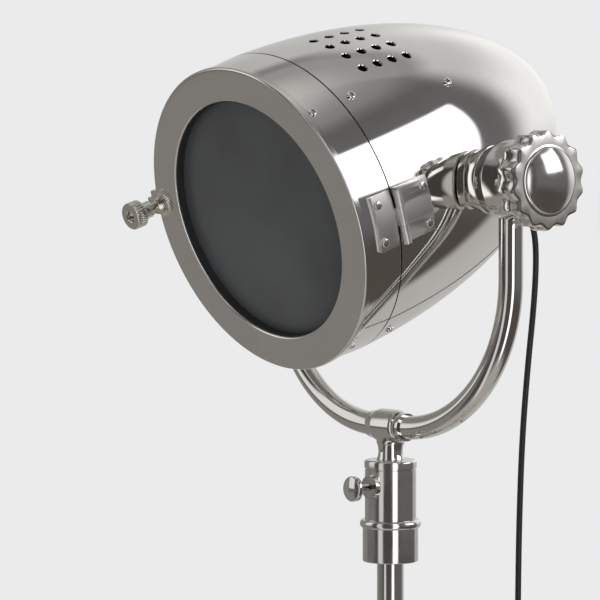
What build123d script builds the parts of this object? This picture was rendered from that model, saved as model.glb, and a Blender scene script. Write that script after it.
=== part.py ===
from build123d import *
import os
from math import asin, cos, degrees, pi, radians, sin, sqrt, tan

os.makedirs("parts", exist_ok=True)

# A tripod floor lamp with a polished studio spot head, in millimetres.
# +Z is up, the origin is on the floor under the column, the tilt axis is along X
# and the head looks towards -Y, pitched down.

# Clearances
FIT = 0.05  # a fixed piece in its seat
RUN = 0.08  # a shaft that turns in its bore
FACE = 0.1  # flat faces that turn on each other
SLIDE = 0.3  # the column in the mast, the button in its switch
FREE = 0.5  # the captive screw in its keeper
OVERCUT = 2.0  # how far a cut runs past a face

# Mast and column
COLUMN_R = 12.5
COLUMN_WALL = 2.0
COLUMN_BOTTOM = 330.0
MAST_WALL = 3.2
MAST_R = COLUMN_R + SLIDE + MAST_WALL
MAST_BOTTOM = 60.0
MAST_TOP = 760.0
CAP_THICK = 4.0
CAP_SPIGOT = 12.0
COLLAR_WALL = 6.0
COLLAR_R = MAST_R + COLLAR_WALL
COLLAR_GRIP = 38.0
COLLAR_LOW = MAST_TOP - COLLAR_GRIP
COLLAR_LIP = 8.0
COLLAR_CHAMFER = 2.5
COLLAR_BOSS_R = 10.0
COLLAR_BOSS_PROUD = 5.0
COLLAR_BOSS_REACH = COLLAR_R + COLLAR_BOSS_PROUD
MAST_SCREW_Z = MAST_TOP - COLLAR_GRIP / 2

# Tripod
LEG_AZIMUTHS = (-90, 30, 150)
LEG_SPLAY = 38.0
LEG_R = 11.0
LEG_WALL = 2.0
LEG_ROOT_GAP = 4.0
LEG_ROOT_R = MAST_R + LEG_ROOT_GAP
LEG_ROOT_Z = 420.0
LEG_SEAT = 24.0
SOCKET_WALL = 6.0
SOCKET_R = LEG_R + SOCKET_WALL
SOCKET_START = -8.0
SOCKET_END = 62.0
HUB_WALL = 18.0
HUB_R = MAST_R + HUB_WALL
HUB_HALF = 32.0
HUB_LOW = LEG_ROOT_Z - HUB_HALF
HUB_HIGH = LEG_ROOT_Z + HUB_HALF
HUB_CHAMFER = 4.0
SET_R = 2.5
SET_PROUD = 2.0
SET_INSET = 11.0
SET_AT = SOCKET_END - SET_INSET
FOOT_WALL = 4.0
FOOT_R = LEG_R + FOOT_WALL
FOOT_CUP = 40.0
FOOT_SOLE = 24.0

# Thumb screws
THUMB_R = 3.0
THUMB_HEAD_R = 11.7
THUMB_HEAD = 6.0
THUMB_NECK_R = 5.0
THUMB_NECK = 3.0
THUMB_STANDOFF = 16.0
THUMB_EDGE = 0.8

# Drum of the head
PIVOT_Z = 1400.0
PITCH = 18.16
HEAD_RISE = 15.0
DOOR_ROLL = -3.25
DRUM_R = 143.5
DOME_DEPTH = 311.7
DOME_STEPS = 4
PLAIN_ANGLE = -75.0
WALL = 1.6
SEAM = 119.4
VENT_R = 4.4
VENT_PITCH = 8.73
VENT_PARTING = 11.2  # from the top to the first row of each block
VENT_ROWS = 4
VENT_COLUMNS = 4
VENT_FIRST = 15.5
VENT_STEP = 18.6

# Pivot bosses on the drum
BOSS_R = 28.5
BOSS_SHOULDER = 4.5
BOSS_STEP = DRUM_R - BOSS_SHOULDER
BOSS_RING_R = 31.0
BOSS_RING = 9.0
BOSS_FACE = BOSS_STEP + BOSS_RING
BOSS_SPIGOT_R = 12.0
BOSS_LENGTH = 30.0
BOSS_INNER = BOSS_FACE - BOSS_LENGTH
BOSS_NUT_R = 19.0
WASHER_R = 30.0
WASHER = 1.5

# Yoke, from its hubs inwards to the tee
TUBE_R = 11.0
TUBE_WALL = 2.0
YOKE_HUB_R = 36.0
YOKE_HUB_ROUND = 2.0
YOKE_HUB_FACE_R = 33.4
YOKE_HUB_TAPER = 13.4
YOKE_HUB_CHEEK = 2.4
YOKE_HUB_BACK = 12.0
YOKE_HUB_IN = BOSS_FACE + WASHER + FACE
YOKE_R = YOKE_HUB_IN + YOKE_HUB_CHEEK + TUBE_R
YOKE_HUB_OUT = YOKE_R + TUBE_R + YOKE_HUB_BACK
YOKE_DROP = 88.0
YOKE_BEND = 142.0
YOKE_FLAT = YOKE_R - YOKE_BEND
ARM_DEPTH = 20.0
ARC_Z = PIVOT_Z - YOKE_DROP
TEE_Z = ARC_Z - YOKE_BEND
TEE_WALL = 4.5
TEE_R = TUBE_R + TEE_WALL
TEE_HALF = 20.0
TEE_ROUND = 9.0
TEE_RING_WALL = 2.0
TEE_RING_R = TUBE_R + TEE_RING_WALL
TEE_RING = 3.5
NECK_R = 13.2
NECK_WAIST = 11.4
NECK = 16.0
STEM_R = 8.0

# Tilt knobs
KNOB_R = 44.2
KNOB_NECK = 4.0
KNOB_THICK = 21.5
KNOB_BACK = YOKE_HUB_OUT + KNOB_NECK
KNOB_FRONT = KNOB_BACK + KNOB_THICK
KNOB_ROUND = 3.0
KNOB_NECK_R = 32.0
SCALLOPS = 14
SCALLOP_R = 7.0
SCALLOP_DEPTH = 3.4
CAP_R = 32.5
CAP_RISE = 10.0
CAP_SIDE = 3.0
STUD_R = 5.0
STUD_INSET = 4.0
STUD_TIP = BOSS_INNER + STUD_INSET

# Clutch, down from the tee's neck
UPPER_SLEEVE_R = 24.0
UPPER_SLEEVE = 55.8
LOWER_SLEEVE_R = 26.0
LOWER_SLEEVE = 29.4
RING_BULGE = 2.6
RING_R = LOWER_SLEEVE_R + RING_BULGE
RING = 10.0
CLUTCH_TOP = TEE_Z - TEE_R - NECK
COLLAR_RING_HIGH = CLUTCH_TOP - UPPER_SLEEVE
COLLAR_RING_LOW = COLLAR_RING_HIGH - RING
CLUTCH_LOW = COLLAR_RING_LOW - LOWER_SLEEVE
SLEEVE_CHAMFER = 2.2
SLEEVE_CROWN = 7.0
SPIGOT_R = 15.0
SPIGOT_TAIL = 50.0
SPIGOT_CHAMFER = 1.5
GROOVE = 2.0
GROOVE_R = SPIGOT_R - GROOVE
GROOVE_HALF = 6.0
CLUTCH_SCREW_DROP = 24.5
CLUTCH_SCREW_Z = CLUTCH_TOP - CLUTCH_SCREW_DROP
CLUTCH_BOSS_R = 11.0
CLUTCH_BOSS_PROUD = 2.5
CLUTCH_BOSS_REACH = UPPER_SLEEVE_R + CLUTCH_BOSS_PROUD

# Lamp inside the drum
REFLECTOR_INSET = 7.4
REFLECTOR_RIM = 13.0
REFLECTOR_FRONT = SEAM - REFLECTOR_INSET
REFLECTOR_REAR = REFLECTOR_FRONT - REFLECTOR_RIM
REFLECTOR_WALL = 1.0
REFLECTOR_NECK_R = 24.0
REFLECTOR_NECK = 8.0
REFLECTOR_HOLLOW = 48.5
REFLECTOR_BELLY_R = DRUM_R - REFLECTOR_HOLLOW
REFLECTOR_BELLY = 45.0
PLATE_REAR = -6.0
PLATE_RIM = 12.0
PLATE_WALL = 1.5
PLATE_VENTS = 8
PLATE_VENT_R = 17.0
PLATE_VENT_INSET = 61.5
PLATE_VENT_AT = DRUM_R - PLATE_VENT_INSET
PLATE_NOTCH_R = 26.0
HOLDER_R = 20.0
HOLDER_TAIL_R = 16.0
HOLDER_FLANGE_R = 25.0
HOLDER_FLANGE = 3.0
HOLDER_REAR = -50.0
HOLDER_FRONT = 14.0
BULB_CAP_R = 13.2
BULB_CAP_REAR = -14.0
BULB_NECK_R = 15.0
BULB_R = 30.0
BULB_MIDDLE = 62.0

# Door
SEAM_GAP = 1.8
DOOR_DEPTH = 40.2
DOOR_TAPER = 2.3
DOOR_REAR = SEAM + SEAM_GAP
DOOR_FRONT = DOOR_REAR + DOOR_DEPTH
DOOR_FRONT_R = DRUM_R - DOOR_TAPER
BEZEL_WALL = 1.8
BEZEL_FRONT = DOOR_FRONT + BEZEL_WALL
BEZEL_R = DOOR_FRONT_R + BEZEL_WALL
BEZEL_FACE = 31.5
BEZEL_HOLE_R = BEZEL_R - BEZEL_FACE
BEZEL_SKIRT = 5.0
BEZEL_LIP = 6.4
BEZEL_EDGE = 1.4
GLASS_LAP = 6.0
GLASS_R = BEZEL_HOLE_R + GLASS_LAP
GLASS = 4.0
GASKET = 2.0
CLIP = 1.2
CLIP_WIDTH = 10.0
CLIP_FOOT = 8.0
CLIP_LAP = 9.5
CLIP_REACH = GLASS_R - CLIP_LAP
CLIP_GAP = 0.3

# Pan head screws
SCREW_R = 2.0
SCREW_HEAD_R = 3.9
SCREW_HEAD = 2.4
SCREW_SHANK = 5.0
SLOT = 1.0
SCREW_ANGLES = (43.2, 136.8, 237, 303)
DOOR_SCREW_INSET = 9.4
DOOR_SCREWS_AT = DOOR_FRONT - DOOR_SCREW_INSET
BODY_SCREW_INSET = 12.5
BODY_SCREWS_AT = SEAM - BODY_SCREW_INSET
DOME_SCREW_ANGLES = (35.4, 144.6, 215.4, 324.6)
DOME_SCREW_RISE = 4.5
DOME_SCREWS_AT = PLATE_REAR + DOME_SCREW_RISE

# Hinge
LEAF = 2.0
LEAF_HALF = 25.0
PIN_INSET = 1.4
PIN_AT = SEAM - PIN_INSET
PIN_R = 2.0
PIN_HEAD_R = 3.4
PIN_HEAD = 1.8
KNUCKLE_R = 3.8
KNUCKLES = 3
KNUCKLE_GAP = 0.2
KNUCKLE_STANDOFF = 0.3
WEB = 2.6
BODY_LEAF = 33.0
BODY_LEAF_SETBACK = 5.0
BODY_LEAF_FRONT = PIN_AT - BODY_LEAF_SETBACK
BODY_LEAF_REAR = BODY_LEAF_FRONT - BODY_LEAF
DOOR_LEAF = 21.0
DOOR_LEAF_SETBACK = 6.0
DOOR_LEAF_REAR = PIN_AT + DOOR_LEAF_SETBACK
DOOR_LEAF_FRONT = DOOR_LEAF_REAR + DOOR_LEAF
LEAF_SCREW_SPREAD = 16.9
BODY_LEAF_MARGIN = 6.8
DOOR_LEAF_MARGIN = 4.7
BODY_LEAF_SCREWS = BODY_LEAF_REAR + BODY_LEAF_MARGIN
DOOR_LEAF_SCREWS = DOOR_LEAF_FRONT - DOOR_LEAF_MARGIN

# Latch
LATCH_STANDOFF = 13.5
LATCH_AT = DRUM_R + LATCH_STANDOFF
LATCH_SCREW_R = 4.0
LATCH_HALF = 8.0
LATCH_OUT = 11.0
KEEPER_INSET = 7.4
KEEPER = 26.0
KEEPER_THICK = 12.0
KEEPER_FRONT = SEAM - KEEPER_INSET
KEEPER_REAR = KEEPER_FRONT - KEEPER
KEEPER_BLOCK = KEEPER_FRONT - KEEPER_THICK
LUG_INSET = 6.4
LUG = 27.0
LUG_THICK = 6.0
LUG_FRONT = DOOR_FRONT - LUG_INSET
LUG_REAR = LUG_FRONT - LUG
LUG_BACK = LUG_FRONT - LUG_THICK
LUG_EAR = 7.0
LATCH_TIP_INSET = 1.5
LATCH_TIP = KEEPER_BLOCK + LATCH_TIP_INSET
LATCH_SEAT = 2.0
LATCH_SEAT_R = 6.5
LATCH_SHANK = 9.0
LATCH_COLLAR_R = 8.0
LATCH_COLLAR_LENGTH = 11.0
LATCH_HEAD_R = 12.9
LATCH_HEAD_LENGTH = 12.0
LATCH_COLLAR = LUG_FRONT + LATCH_SHANK
LATCH_HEAD = LATCH_COLLAR + LATCH_COLLAR_LENGTH
LATCH_END = LATCH_HEAD + LATCH_HEAD_LENGTH
LATCH_BORE_R = 3.4
LATCH_BORE = 5.0
KNURLS = 36
KNURL_R = 0.7

# Cord, gland, switch and plug
CORD_R = 3.0
GLAND_INSET = 52.3
GLAND_AT = SEAM - DOME_DEPTH + GLAND_INSET
GLAND_R = 12.0
GLAND_THREAD_R = 8.0
GLAND_THREAD = 9.0
GLAND_FLANGE = 5.0
GLAND_TAPER_R = 7.5
GLAND_TIP_R = 4.6
GLAND_LENGTH = 20.0
CORD_START = 10.0
CORD_FIRST = 30.0
SWITCH_X = 132.0
SWITCH_Y = 172.0
SWITCH_LENGTH = 64.0
SWITCH_WIDTH = 30.0
SWITCH_HEIGHT = 20.0
SWITCH_CORNER = 10.0
SWITCH_EDGE = 4.0
FLOOR_GAP = 0.2
CORD_FLOOR_Z = 6.0
BUTTON_R = 9.0
BUTTON_PROUD = 3.5
BUTTON_DEPTH = 6.0
BUTTON_WELL = 10.0
COIL_X = 95.0
COIL_Y = 40.0
COIL_LOW_Z = 4.4
COIL_LAYER = 6.6
COIL_R = 40.2
COIL_PITCH = 7.2
COIL_DOWN_HALF_TURNS = 4
COIL_INNER_R = 23.4
COIL_TOP_R = 25.2
COIL_UP_HALF_TURNS = 4
TIE_WALL = 0.8
TIE_GAP = 0.6
TIE_SIDE = 1.3
TIE_WIDTH = 8.0
PLUG_GAP = 46.0
PLUG_LENGTH = 34.0
PLUG_WIDTH = 35.0
PLUG_THICK = 13.6
PLUG_TAIL_WIDTH = 14.0
PLUG_TAIL_THICK = 12.0
PIN_LENGTH = 19.0
PLUG_PIN_R = 2.0
PLUG_PIN_SPREAD = 9.3
PLUG_PIN_ROOT = 8.0


def save(piece, label):
    """Label a finished piece and write it under its own name."""
    piece.part.label = label
    export_step(piece.part, f"parts/{label}.step")


def turned(section, outline):
    """A lathe-turned piece: an outline of (radius, along) points about a section plane's y."""
    with BuildPart() as piece:
        with BuildSketch(section):
            with BuildLine():
                Polyline(*outline, close=True)
            make_face()
        revolve(axis=Axis(section.origin, section.y_dir))
    return piece


def ring(plane, outer, inner, length):
    """A plain tube or ring that stands on a plane."""
    with BuildPart() as piece:
        with BuildSketch(plane):
            Circle(outer)
            Circle(inner, mode=Mode.SUBTRACT)
        extrude(amount=length)
    return piece


# Tripod hub, legs and feet

LEG_REACH = LEG_ROOT_Z / cos(radians(LEG_SPLAY))
LEG_END = LEG_REACH - FOOT_SOLE


def leg_plane(azimuth, along=0.0):
    """A plane across a leg, z down the leg and x to its upper side."""
    out = Vector(cos(radians(azimuth)), sin(radians(azimuth)), 0)
    up = Vector(0, 0, 1)
    down_leg = out * sin(radians(LEG_SPLAY)) - up * cos(radians(LEG_SPLAY))
    upper = out * cos(radians(LEG_SPLAY)) + up * sin(radians(LEG_SPLAY))
    root = out * LEG_ROOT_R + up * LEG_ROOT_Z
    return Plane(origin=root + down_leg * along, x_dir=upper, z_dir=down_leg)


def set_screw_plane(azimuth):
    """The seat of a set screw on the upper side of a leg."""
    leg = leg_plane(azimuth, SET_AT)
    return Plane(origin=leg.origin + leg.x_dir * (LEG_R + FIT), z_dir=leg.x_dir)


with BuildPart() as leg_hub:
    with BuildSketch(Plane.YZ):
        with BuildLine():
            Polyline(
                (0, HUB_LOW),
                (HUB_R - HUB_CHAMFER, HUB_LOW),
                (HUB_R, HUB_LOW + HUB_CHAMFER),
                (HUB_R, HUB_HIGH - HUB_CHAMFER),
                (HUB_R - HUB_CHAMFER, HUB_HIGH),
                (0, HUB_HIGH),
                close=True,
            )
        make_face()
    revolve(axis=Axis.Z)
    with BuildSketch(*[leg_plane(azimuth, SOCKET_START) for azimuth in LEG_AZIMUTHS]):
        Circle(SOCKET_R)
    extrude(amount=SOCKET_END - SOCKET_START)
    with BuildSketch(Plane.XY.offset(HUB_LOW - OVERCUT)):
        Circle(MAST_R + FIT)
    extrude(amount=HUB_HIGH - HUB_LOW + 2 * OVERCUT, mode=Mode.SUBTRACT)
    with BuildSketch(*[leg_plane(azimuth, LEG_SEAT) for azimuth in LEG_AZIMUTHS]):
        Circle(LEG_R + FIT)
    extrude(amount=SOCKET_END, mode=Mode.SUBTRACT)
    with BuildSketch(*[set_screw_plane(azimuth).offset(-OVERCUT) for azimuth in LEG_AZIMUTHS]):
        Circle(SET_R + FIT)
    extrude(amount=SOCKET_R, mode=Mode.SUBTRACT)
save(leg_hub, "leg_hub")

with BuildPart() as leg_screws:
    with BuildSketch(*[set_screw_plane(azimuth) for azimuth in LEG_AZIMUTHS]):
        Circle(SET_R)
    extrude(amount=SOCKET_R - LEG_R + SET_PROUD)
save(leg_screws, "leg_screws")

for number, azimuth in enumerate(LEG_AZIMUTHS, start=1):
    leg = ring(leg_plane(azimuth, LEG_SEAT + FIT), LEG_R, LEG_R - LEG_WALL, LEG_END - LEG_SEAT - FIT)
    save(leg, f"leg_{number}")
    with BuildPart() as foot:
        with BuildSketch(leg_plane(azimuth, LEG_END - FOOT_CUP)):
            Circle(FOOT_R)
        extrude(amount=FOOT_CUP + FOOT_SOLE + FOOT_R)
        with BuildSketch(leg_plane(azimuth, LEG_END - FOOT_CUP)):
            Circle(LEG_R + FIT)
        extrude(amount=FOOT_CUP + FIT, mode=Mode.SUBTRACT)
        split(bisect_by=Plane.XY, keep=Keep.TOP)
    save(foot, f"foot_{number}")

# Mast, end cap and clamp collar

FRONT = Plane(origin=(0, 0, 0), x_dir=(1, 0, 0), z_dir=(0, -1, 0))
MAST_BORE = COLUMN_R + SLIDE


def front_plane(height, along=0.0):
    """A plane facing -Y at a height on the column, its z away from the column."""
    return Plane(origin=(0, -along, height), x_dir=(1, 0, 0), z_dir=(0, -1, 0))


with BuildPart() as mast_tube:
    with BuildSketch(Plane.XY.offset(MAST_BOTTOM)):
        Circle(MAST_R)
        Circle(MAST_BORE, mode=Mode.SUBTRACT)
    extrude(amount=MAST_TOP - MAST_BOTTOM)
    with BuildSketch(front_plane(MAST_SCREW_Z)):
        Circle(THUMB_R + FREE)
    extrude(amount=MAST_R + OVERCUT, mode=Mode.SUBTRACT)
save(mast_tube, "mast_tube")

mast_cap = turned(
    FRONT,
    [
        (0, MAST_BOTTOM - CAP_THICK),
        (MAST_R - CAP_THICK / 2, MAST_BOTTOM - CAP_THICK),
        (MAST_R, MAST_BOTTOM - CAP_THICK / 2),
        (MAST_R, MAST_BOTTOM),
        (MAST_BORE - FIT, MAST_BOTTOM),
        (MAST_BORE - FIT, MAST_BOTTOM + CAP_SPIGOT),
        (0, MAST_BOTTOM + CAP_SPIGOT),
    ],
)
save(mast_cap, "mast_cap")

COLLAR_HIGH = MAST_TOP + COLLAR_LIP
with BuildPart() as mast_collar:
    with BuildSketch(Plane.XY.offset(COLLAR_LOW)):
        Circle(COLLAR_R)
    extrude(amount=COLLAR_HIGH - COLLAR_LOW)
    chamfer(mast_collar.edges().filter_by(GeomType.CIRCLE), COLLAR_CHAMFER)
    with BuildSketch(front_plane(MAST_SCREW_Z)):
        Circle(COLLAR_BOSS_R)
    extrude(amount=COLLAR_BOSS_REACH)
    with BuildSketch(Plane.XY.offset(COLLAR_LOW - OVERCUT)):
        Circle(MAST_R + FIT)
    extrude(amount=MAST_TOP - COLLAR_LOW + OVERCUT, mode=Mode.SUBTRACT)
    with BuildSketch(Plane.XY.offset(MAST_TOP - OVERCUT)):
        Circle(MAST_BORE)
    extrude(amount=COLLAR_LIP + 2 * OVERCUT, mode=Mode.SUBTRACT)
    with BuildSketch(front_plane(MAST_SCREW_Z)):
        Circle(THUMB_R + RUN)
    extrude(amount=COLLAR_BOSS_REACH + OVERCUT, mode=Mode.SUBTRACT)
save(mast_collar, "mast_collar")


def thumb_screw(height, tip, seat):
    """A flat-headed thumb screw facing -Y, from its tip to its head in front of a seat."""
    head = seat + THUMB_STANDOFF
    with BuildPart() as screw:
        with BuildSketch(front_plane(height, head)):
            Circle(THUMB_HEAD_R)
        extrude(amount=THUMB_HEAD)
        chamfer(screw.edges(), THUMB_EDGE)
        with BuildSketch(front_plane(height, head - THUMB_NECK)):
            Circle(THUMB_NECK_R)
        extrude(amount=THUMB_NECK)
        with BuildSketch(front_plane(height, tip)):
            Circle(THUMB_R)
        extrude(amount=head - tip)
    return screw


save(thumb_screw(MAST_SCREW_Z, COLUMN_R + SLIDE, COLLAR_BOSS_REACH), "mast_screw")

# Column and clutch

column_tube = ring(
    Plane.XY.offset(COLUMN_BOTTOM), COLUMN_R, COLUMN_R - COLUMN_WALL, COLLAR_RING_HIGH - COLUMN_BOTTOM
)
save(column_tube, "column_tube")

clutch_lower = turned(
    FRONT,
    [
        (COLUMN_R + FIT, CLUTCH_LOW),
        (LOWER_SLEEVE_R - SLEEVE_CHAMFER, CLUTCH_LOW),
        (LOWER_SLEEVE_R, CLUTCH_LOW + SLEEVE_CHAMFER),
        (LOWER_SLEEVE_R, COLLAR_RING_LOW),
        (COLUMN_R + FIT, COLLAR_RING_LOW),
    ],
)
save(clutch_lower, "clutch_lower")

with BuildPart() as clutch_ring:
    with BuildSketch(FRONT):
        with BuildLine():
            Polyline(
                (LOWER_SLEEVE_R, COLLAR_RING_HIGH),
                (COLUMN_R + FIT, COLLAR_RING_HIGH),
                (COLUMN_R + FIT, COLLAR_RING_LOW),
                (LOWER_SLEEVE_R, COLLAR_RING_LOW),
            )
            ThreePointArc(
                (LOWER_SLEEVE_R, COLLAR_RING_LOW),
                (RING_R, (COLLAR_RING_LOW + COLLAR_RING_HIGH) / 2),
                (LOWER_SLEEVE_R, COLLAR_RING_HIGH),
            )
        make_face()
    revolve(axis=Axis.Z)
save(clutch_ring, "clutch_ring")

SPIGOT_TOP = CLUTCH_TOP - SLEEVE_CROWN - FACE
clutch_spigot = turned(
    FRONT,
    [
        (0, COLLAR_RING_HIGH - SPIGOT_TAIL),
        (COLUMN_R - COLUMN_WALL - FIT, COLLAR_RING_HIGH - SPIGOT_TAIL),
        (COLUMN_R - COLUMN_WALL - FIT, COLLAR_RING_HIGH),
        (SPIGOT_R, COLLAR_RING_HIGH),
        (SPIGOT_R, CLUTCH_SCREW_Z - GROOVE_HALF),
        (GROOVE_R, CLUTCH_SCREW_Z - GROOVE_HALF),
        (GROOVE_R, CLUTCH_SCREW_Z + GROOVE_HALF),
        (SPIGOT_R, CLUTCH_SCREW_Z + GROOVE_HALF),
        (SPIGOT_R, SPIGOT_TOP - SPIGOT_CHAMFER),
        (SPIGOT_R - SPIGOT_CHAMFER, SPIGOT_TOP),
        (0, SPIGOT_TOP),
    ],
)
save(clutch_spigot, "clutch_spigot")

SLEEVE_FOOT = COLLAR_RING_HIGH + FACE
with BuildPart() as clutch_upper:
    with BuildSketch(FRONT):
        with BuildLine():
            Polyline(
                (SPIGOT_R + RUN, SLEEVE_FOOT),
                (UPPER_SLEEVE_R, SLEEVE_FOOT),
                (UPPER_SLEEVE_R, CLUTCH_TOP - SLEEVE_CHAMFER),
                (UPPER_SLEEVE_R - SLEEVE_CHAMFER, CLUTCH_TOP),
                (STEM_R + FIT, CLUTCH_TOP),
                (STEM_R + FIT, CLUTCH_TOP - SLEEVE_CROWN),
                (SPIGOT_R + RUN, CLUTCH_TOP - SLEEVE_CROWN),
                close=True,
            )
        make_face()
    revolve(axis=Axis.Z)
    with BuildSketch(front_plane(CLUTCH_SCREW_Z)):
        Circle(CLUTCH_BOSS_R + FIT)
    extrude(amount=CLUTCH_BOSS_REACH, mode=Mode.SUBTRACT)
save(clutch_upper, "clutch_upper")

with BuildPart() as clutch_boss:
    with BuildSketch(front_plane(CLUTCH_SCREW_Z)):
        Circle(CLUTCH_BOSS_R)
        Circle(THUMB_R + RUN, mode=Mode.SUBTRACT)
    extrude(amount=CLUTCH_BOSS_REACH)
    with BuildSketch(Plane.XY.offset(CLUTCH_SCREW_Z - CLUTCH_BOSS_R - OVERCUT)):
        Circle(SPIGOT_R + RUN)
    extrude(amount=2 * (CLUTCH_BOSS_R + OVERCUT), mode=Mode.SUBTRACT)
save(clutch_boss, "clutch_boss")

save(thumb_screw(CLUTCH_SCREW_Z, GROOVE_R + SLIDE, CLUTCH_BOSS_REACH), "clutch_screw")

# Yoke

ARM_TOP = PIVOT_Z - YOKE_HUB_R + ARM_DEPTH


def yoke_bar(outer, inner=None):
    """A round bar or tube with two bends to the U of the yoke."""
    with BuildPart() as bar:
        with BuildLine() as path:
            Line((YOKE_R, 0, ARM_TOP), (YOKE_R, 0, ARC_Z))
            TangentArc((YOKE_R, 0, ARC_Z), (YOKE_FLAT, 0, TEE_Z), tangent=(0, 0, -1))
            Line((YOKE_FLAT, 0, TEE_Z), (-YOKE_FLAT, 0, TEE_Z))
            TangentArc((-YOKE_FLAT, 0, TEE_Z), (-YOKE_R, 0, ARC_Z), tangent=(-1, 0, 0))
            Line((-YOKE_R, 0, ARC_Z), (-YOKE_R, 0, ARM_TOP))
        with BuildSketch(Plane(origin=(YOKE_R, 0, ARM_TOP), z_dir=(0, 0, -1))):
            Circle(outer)
            if inner:
                Circle(inner, mode=Mode.SUBTRACT)
        sweep(path=path.line)
    return bar


save(yoke_bar(TUBE_R, TUBE_R - TUBE_WALL), "yoke_tube")

yoke_seat = yoke_bar(TUBE_R + FIT)
TEE_ENDS = TEE_HALF + TEE_RING
with BuildPart() as tee_fitting:
    with BuildSketch(Plane.YZ.offset(-TEE_HALF)):
        with Locations((0, TEE_Z)):
            Circle(TEE_R)
    extrude(amount=2 * TEE_HALF)
    fillet(tee_fitting.edges().filter_by(GeomType.CIRCLE), TEE_ROUND)
    with BuildSketch(Plane.YZ.offset(-TEE_ENDS)):
        with Locations((0, TEE_Z)):
            Circle(TEE_RING_R)
    extrude(amount=2 * TEE_ENDS)
    with BuildSketch(FRONT):
        with BuildLine():
            Polyline(
                (NECK_R, TEE_Z),
                (0, TEE_Z),
                (0, CLUTCH_TOP - SLEEVE_CROWN),
                (STEM_R, CLUTCH_TOP - SLEEVE_CROWN),
                (STEM_R, CLUTCH_TOP),
                (NECK_R, CLUTCH_TOP),
            )
            ThreePointArc(
                (NECK_R, CLUTCH_TOP),
                (NECK_WAIST, (CLUTCH_TOP + TEE_Z - TEE_R) / 2),
                (NECK_R, TEE_Z - TEE_R),
            )
            Line((NECK_R, TEE_Z - TEE_R), (NECK_R, TEE_Z))
        make_face()
    revolve(axis=Axis.Z)
    add(yoke_seat.part, mode=Mode.SUBTRACT)
save(tee_fitting, "tee_fitting")


def pivot_section(side):
    """The plane of a turned piece on the tilt axis, y outwards on the given side."""
    return Plane(origin=(0, 0, PIVOT_Z), x_dir=(0, 0, 1), z_dir=(0, side, 0))


def pivot_face(side, reach):
    """A plane square to the tilt axis, facing outwards on the given side."""
    return Plane(origin=(side * reach, 0, PIVOT_Z), x_dir=(0, 0, 1), z_dir=(side, 0, 0))


SIDES = {"right": 1, "left": -1}
for name, side in SIDES.items():
    with BuildPart() as yoke_hub:
        with BuildSketch(pivot_section(side)):
            with BuildLine():
                FilletPolyline(
                    (0, YOKE_HUB_IN),
                    (YOKE_HUB_FACE_R, YOKE_HUB_IN),
                    (YOKE_HUB_R, YOKE_HUB_IN + YOKE_HUB_TAPER),
                    (YOKE_HUB_R, YOKE_HUB_OUT),
                    (0, YOKE_HUB_OUT),
                    radius=[0, YOKE_HUB_ROUND, YOKE_HUB_ROUND, YOKE_HUB_ROUND, 0],
                    close=True,
                )
            make_face()
        revolve(axis=Axis((0, 0, PIVOT_Z), (side, 0, 0)))
        with BuildSketch(pivot_face(side, YOKE_HUB_IN - OVERCUT)):
            Circle(STUD_R + RUN)
        extrude(amount=YOKE_HUB_OUT - YOKE_HUB_IN + 2 * OVERCUT, mode=Mode.SUBTRACT)
        with BuildSketch(Plane(origin=(side * YOKE_R, 0, ARM_TOP + FIT), z_dir=(0, 0, -1))):
            Circle(TUBE_R + FIT)
        extrude(amount=YOKE_HUB_R, mode=Mode.SUBTRACT)
    save(yoke_hub, f"yoke_hub_{name}")

# Scalloped tilt knobs, each with its stud

KNOB_SEAT = YOKE_HUB_OUT + FACE
CAP_TOP = KNOB_FRONT + CAP_RISE
CAP_SHOULDER = KNOB_FRONT + CAP_SIDE
CAP_CURVE = (CAP_R**2 + (CAP_TOP - CAP_SHOULDER) ** 2) / (2 * (CAP_TOP - CAP_SHOULDER))
for name, side in SIDES.items():
    with BuildPart() as knob:
        with BuildSketch(pivot_section(side)):
            with BuildLine():
                FilletPolyline(
                    (0, KNOB_BACK),
                    (KNOB_R, KNOB_BACK),
                    (KNOB_R, KNOB_FRONT),
                    (0, KNOB_FRONT),
                    radius=[0, KNOB_ROUND, KNOB_ROUND, 0],
                    close=True,
                )
            make_face()
        revolve(axis=Axis((0, 0, PIVOT_Z), (side, 0, 0)))
        with BuildSketch(pivot_face(side, KNOB_BACK - OVERCUT)):
            with PolarLocations(KNOB_R - SCALLOP_DEPTH + SCALLOP_R, SCALLOPS):
                Circle(SCALLOP_R)
        extrude(amount=KNOB_FRONT - KNOB_BACK + 2 * OVERCUT, mode=Mode.SUBTRACT)
        with BuildSketch(pivot_section(side)):
            with BuildLine():
                Polyline((0, CAP_TOP), (0, KNOB_FRONT), (CAP_R, KNOB_FRONT), (CAP_R, CAP_SHOULDER))
                RadiusArc((CAP_R, CAP_SHOULDER), (0, CAP_TOP), -CAP_CURVE)
            make_face()
        revolve(axis=Axis((0, 0, PIVOT_Z), (side, 0, 0)))
        with BuildSketch(pivot_face(side, KNOB_SEAT)):
            Circle(KNOB_NECK_R)
        extrude(amount=KNOB_BACK - KNOB_SEAT)
        with BuildSketch(pivot_face(side, STUD_TIP)):
            Circle(STUD_R)
        extrude(amount=KNOB_BACK - STUD_TIP)
    save(knob, f"tilt_knob_{name}")

# Frames of the head

AHEAD = Vector(0, -cos(radians(PITCH)), -sin(radians(PITCH)))
ABOVE = Vector(0, -sin(radians(PITCH)), cos(radians(PITCH)))
ACROSS = Vector(1, 0, 0)
CENTRE = Vector(0, 0, PIVOT_Z) + ABOVE * HEAD_RISE
HEAD = Plane(origin=CENTRE, x_dir=ACROSS, z_dir=AHEAD)
DRUM_AXIS = Axis(CENTRE, AHEAD)


def outward(angle):
    """The direction square to the drum's axis at an angle from +X towards its top."""
    return ACROSS * cos(radians(angle)) + ABOVE * sin(radians(angle))


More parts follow.
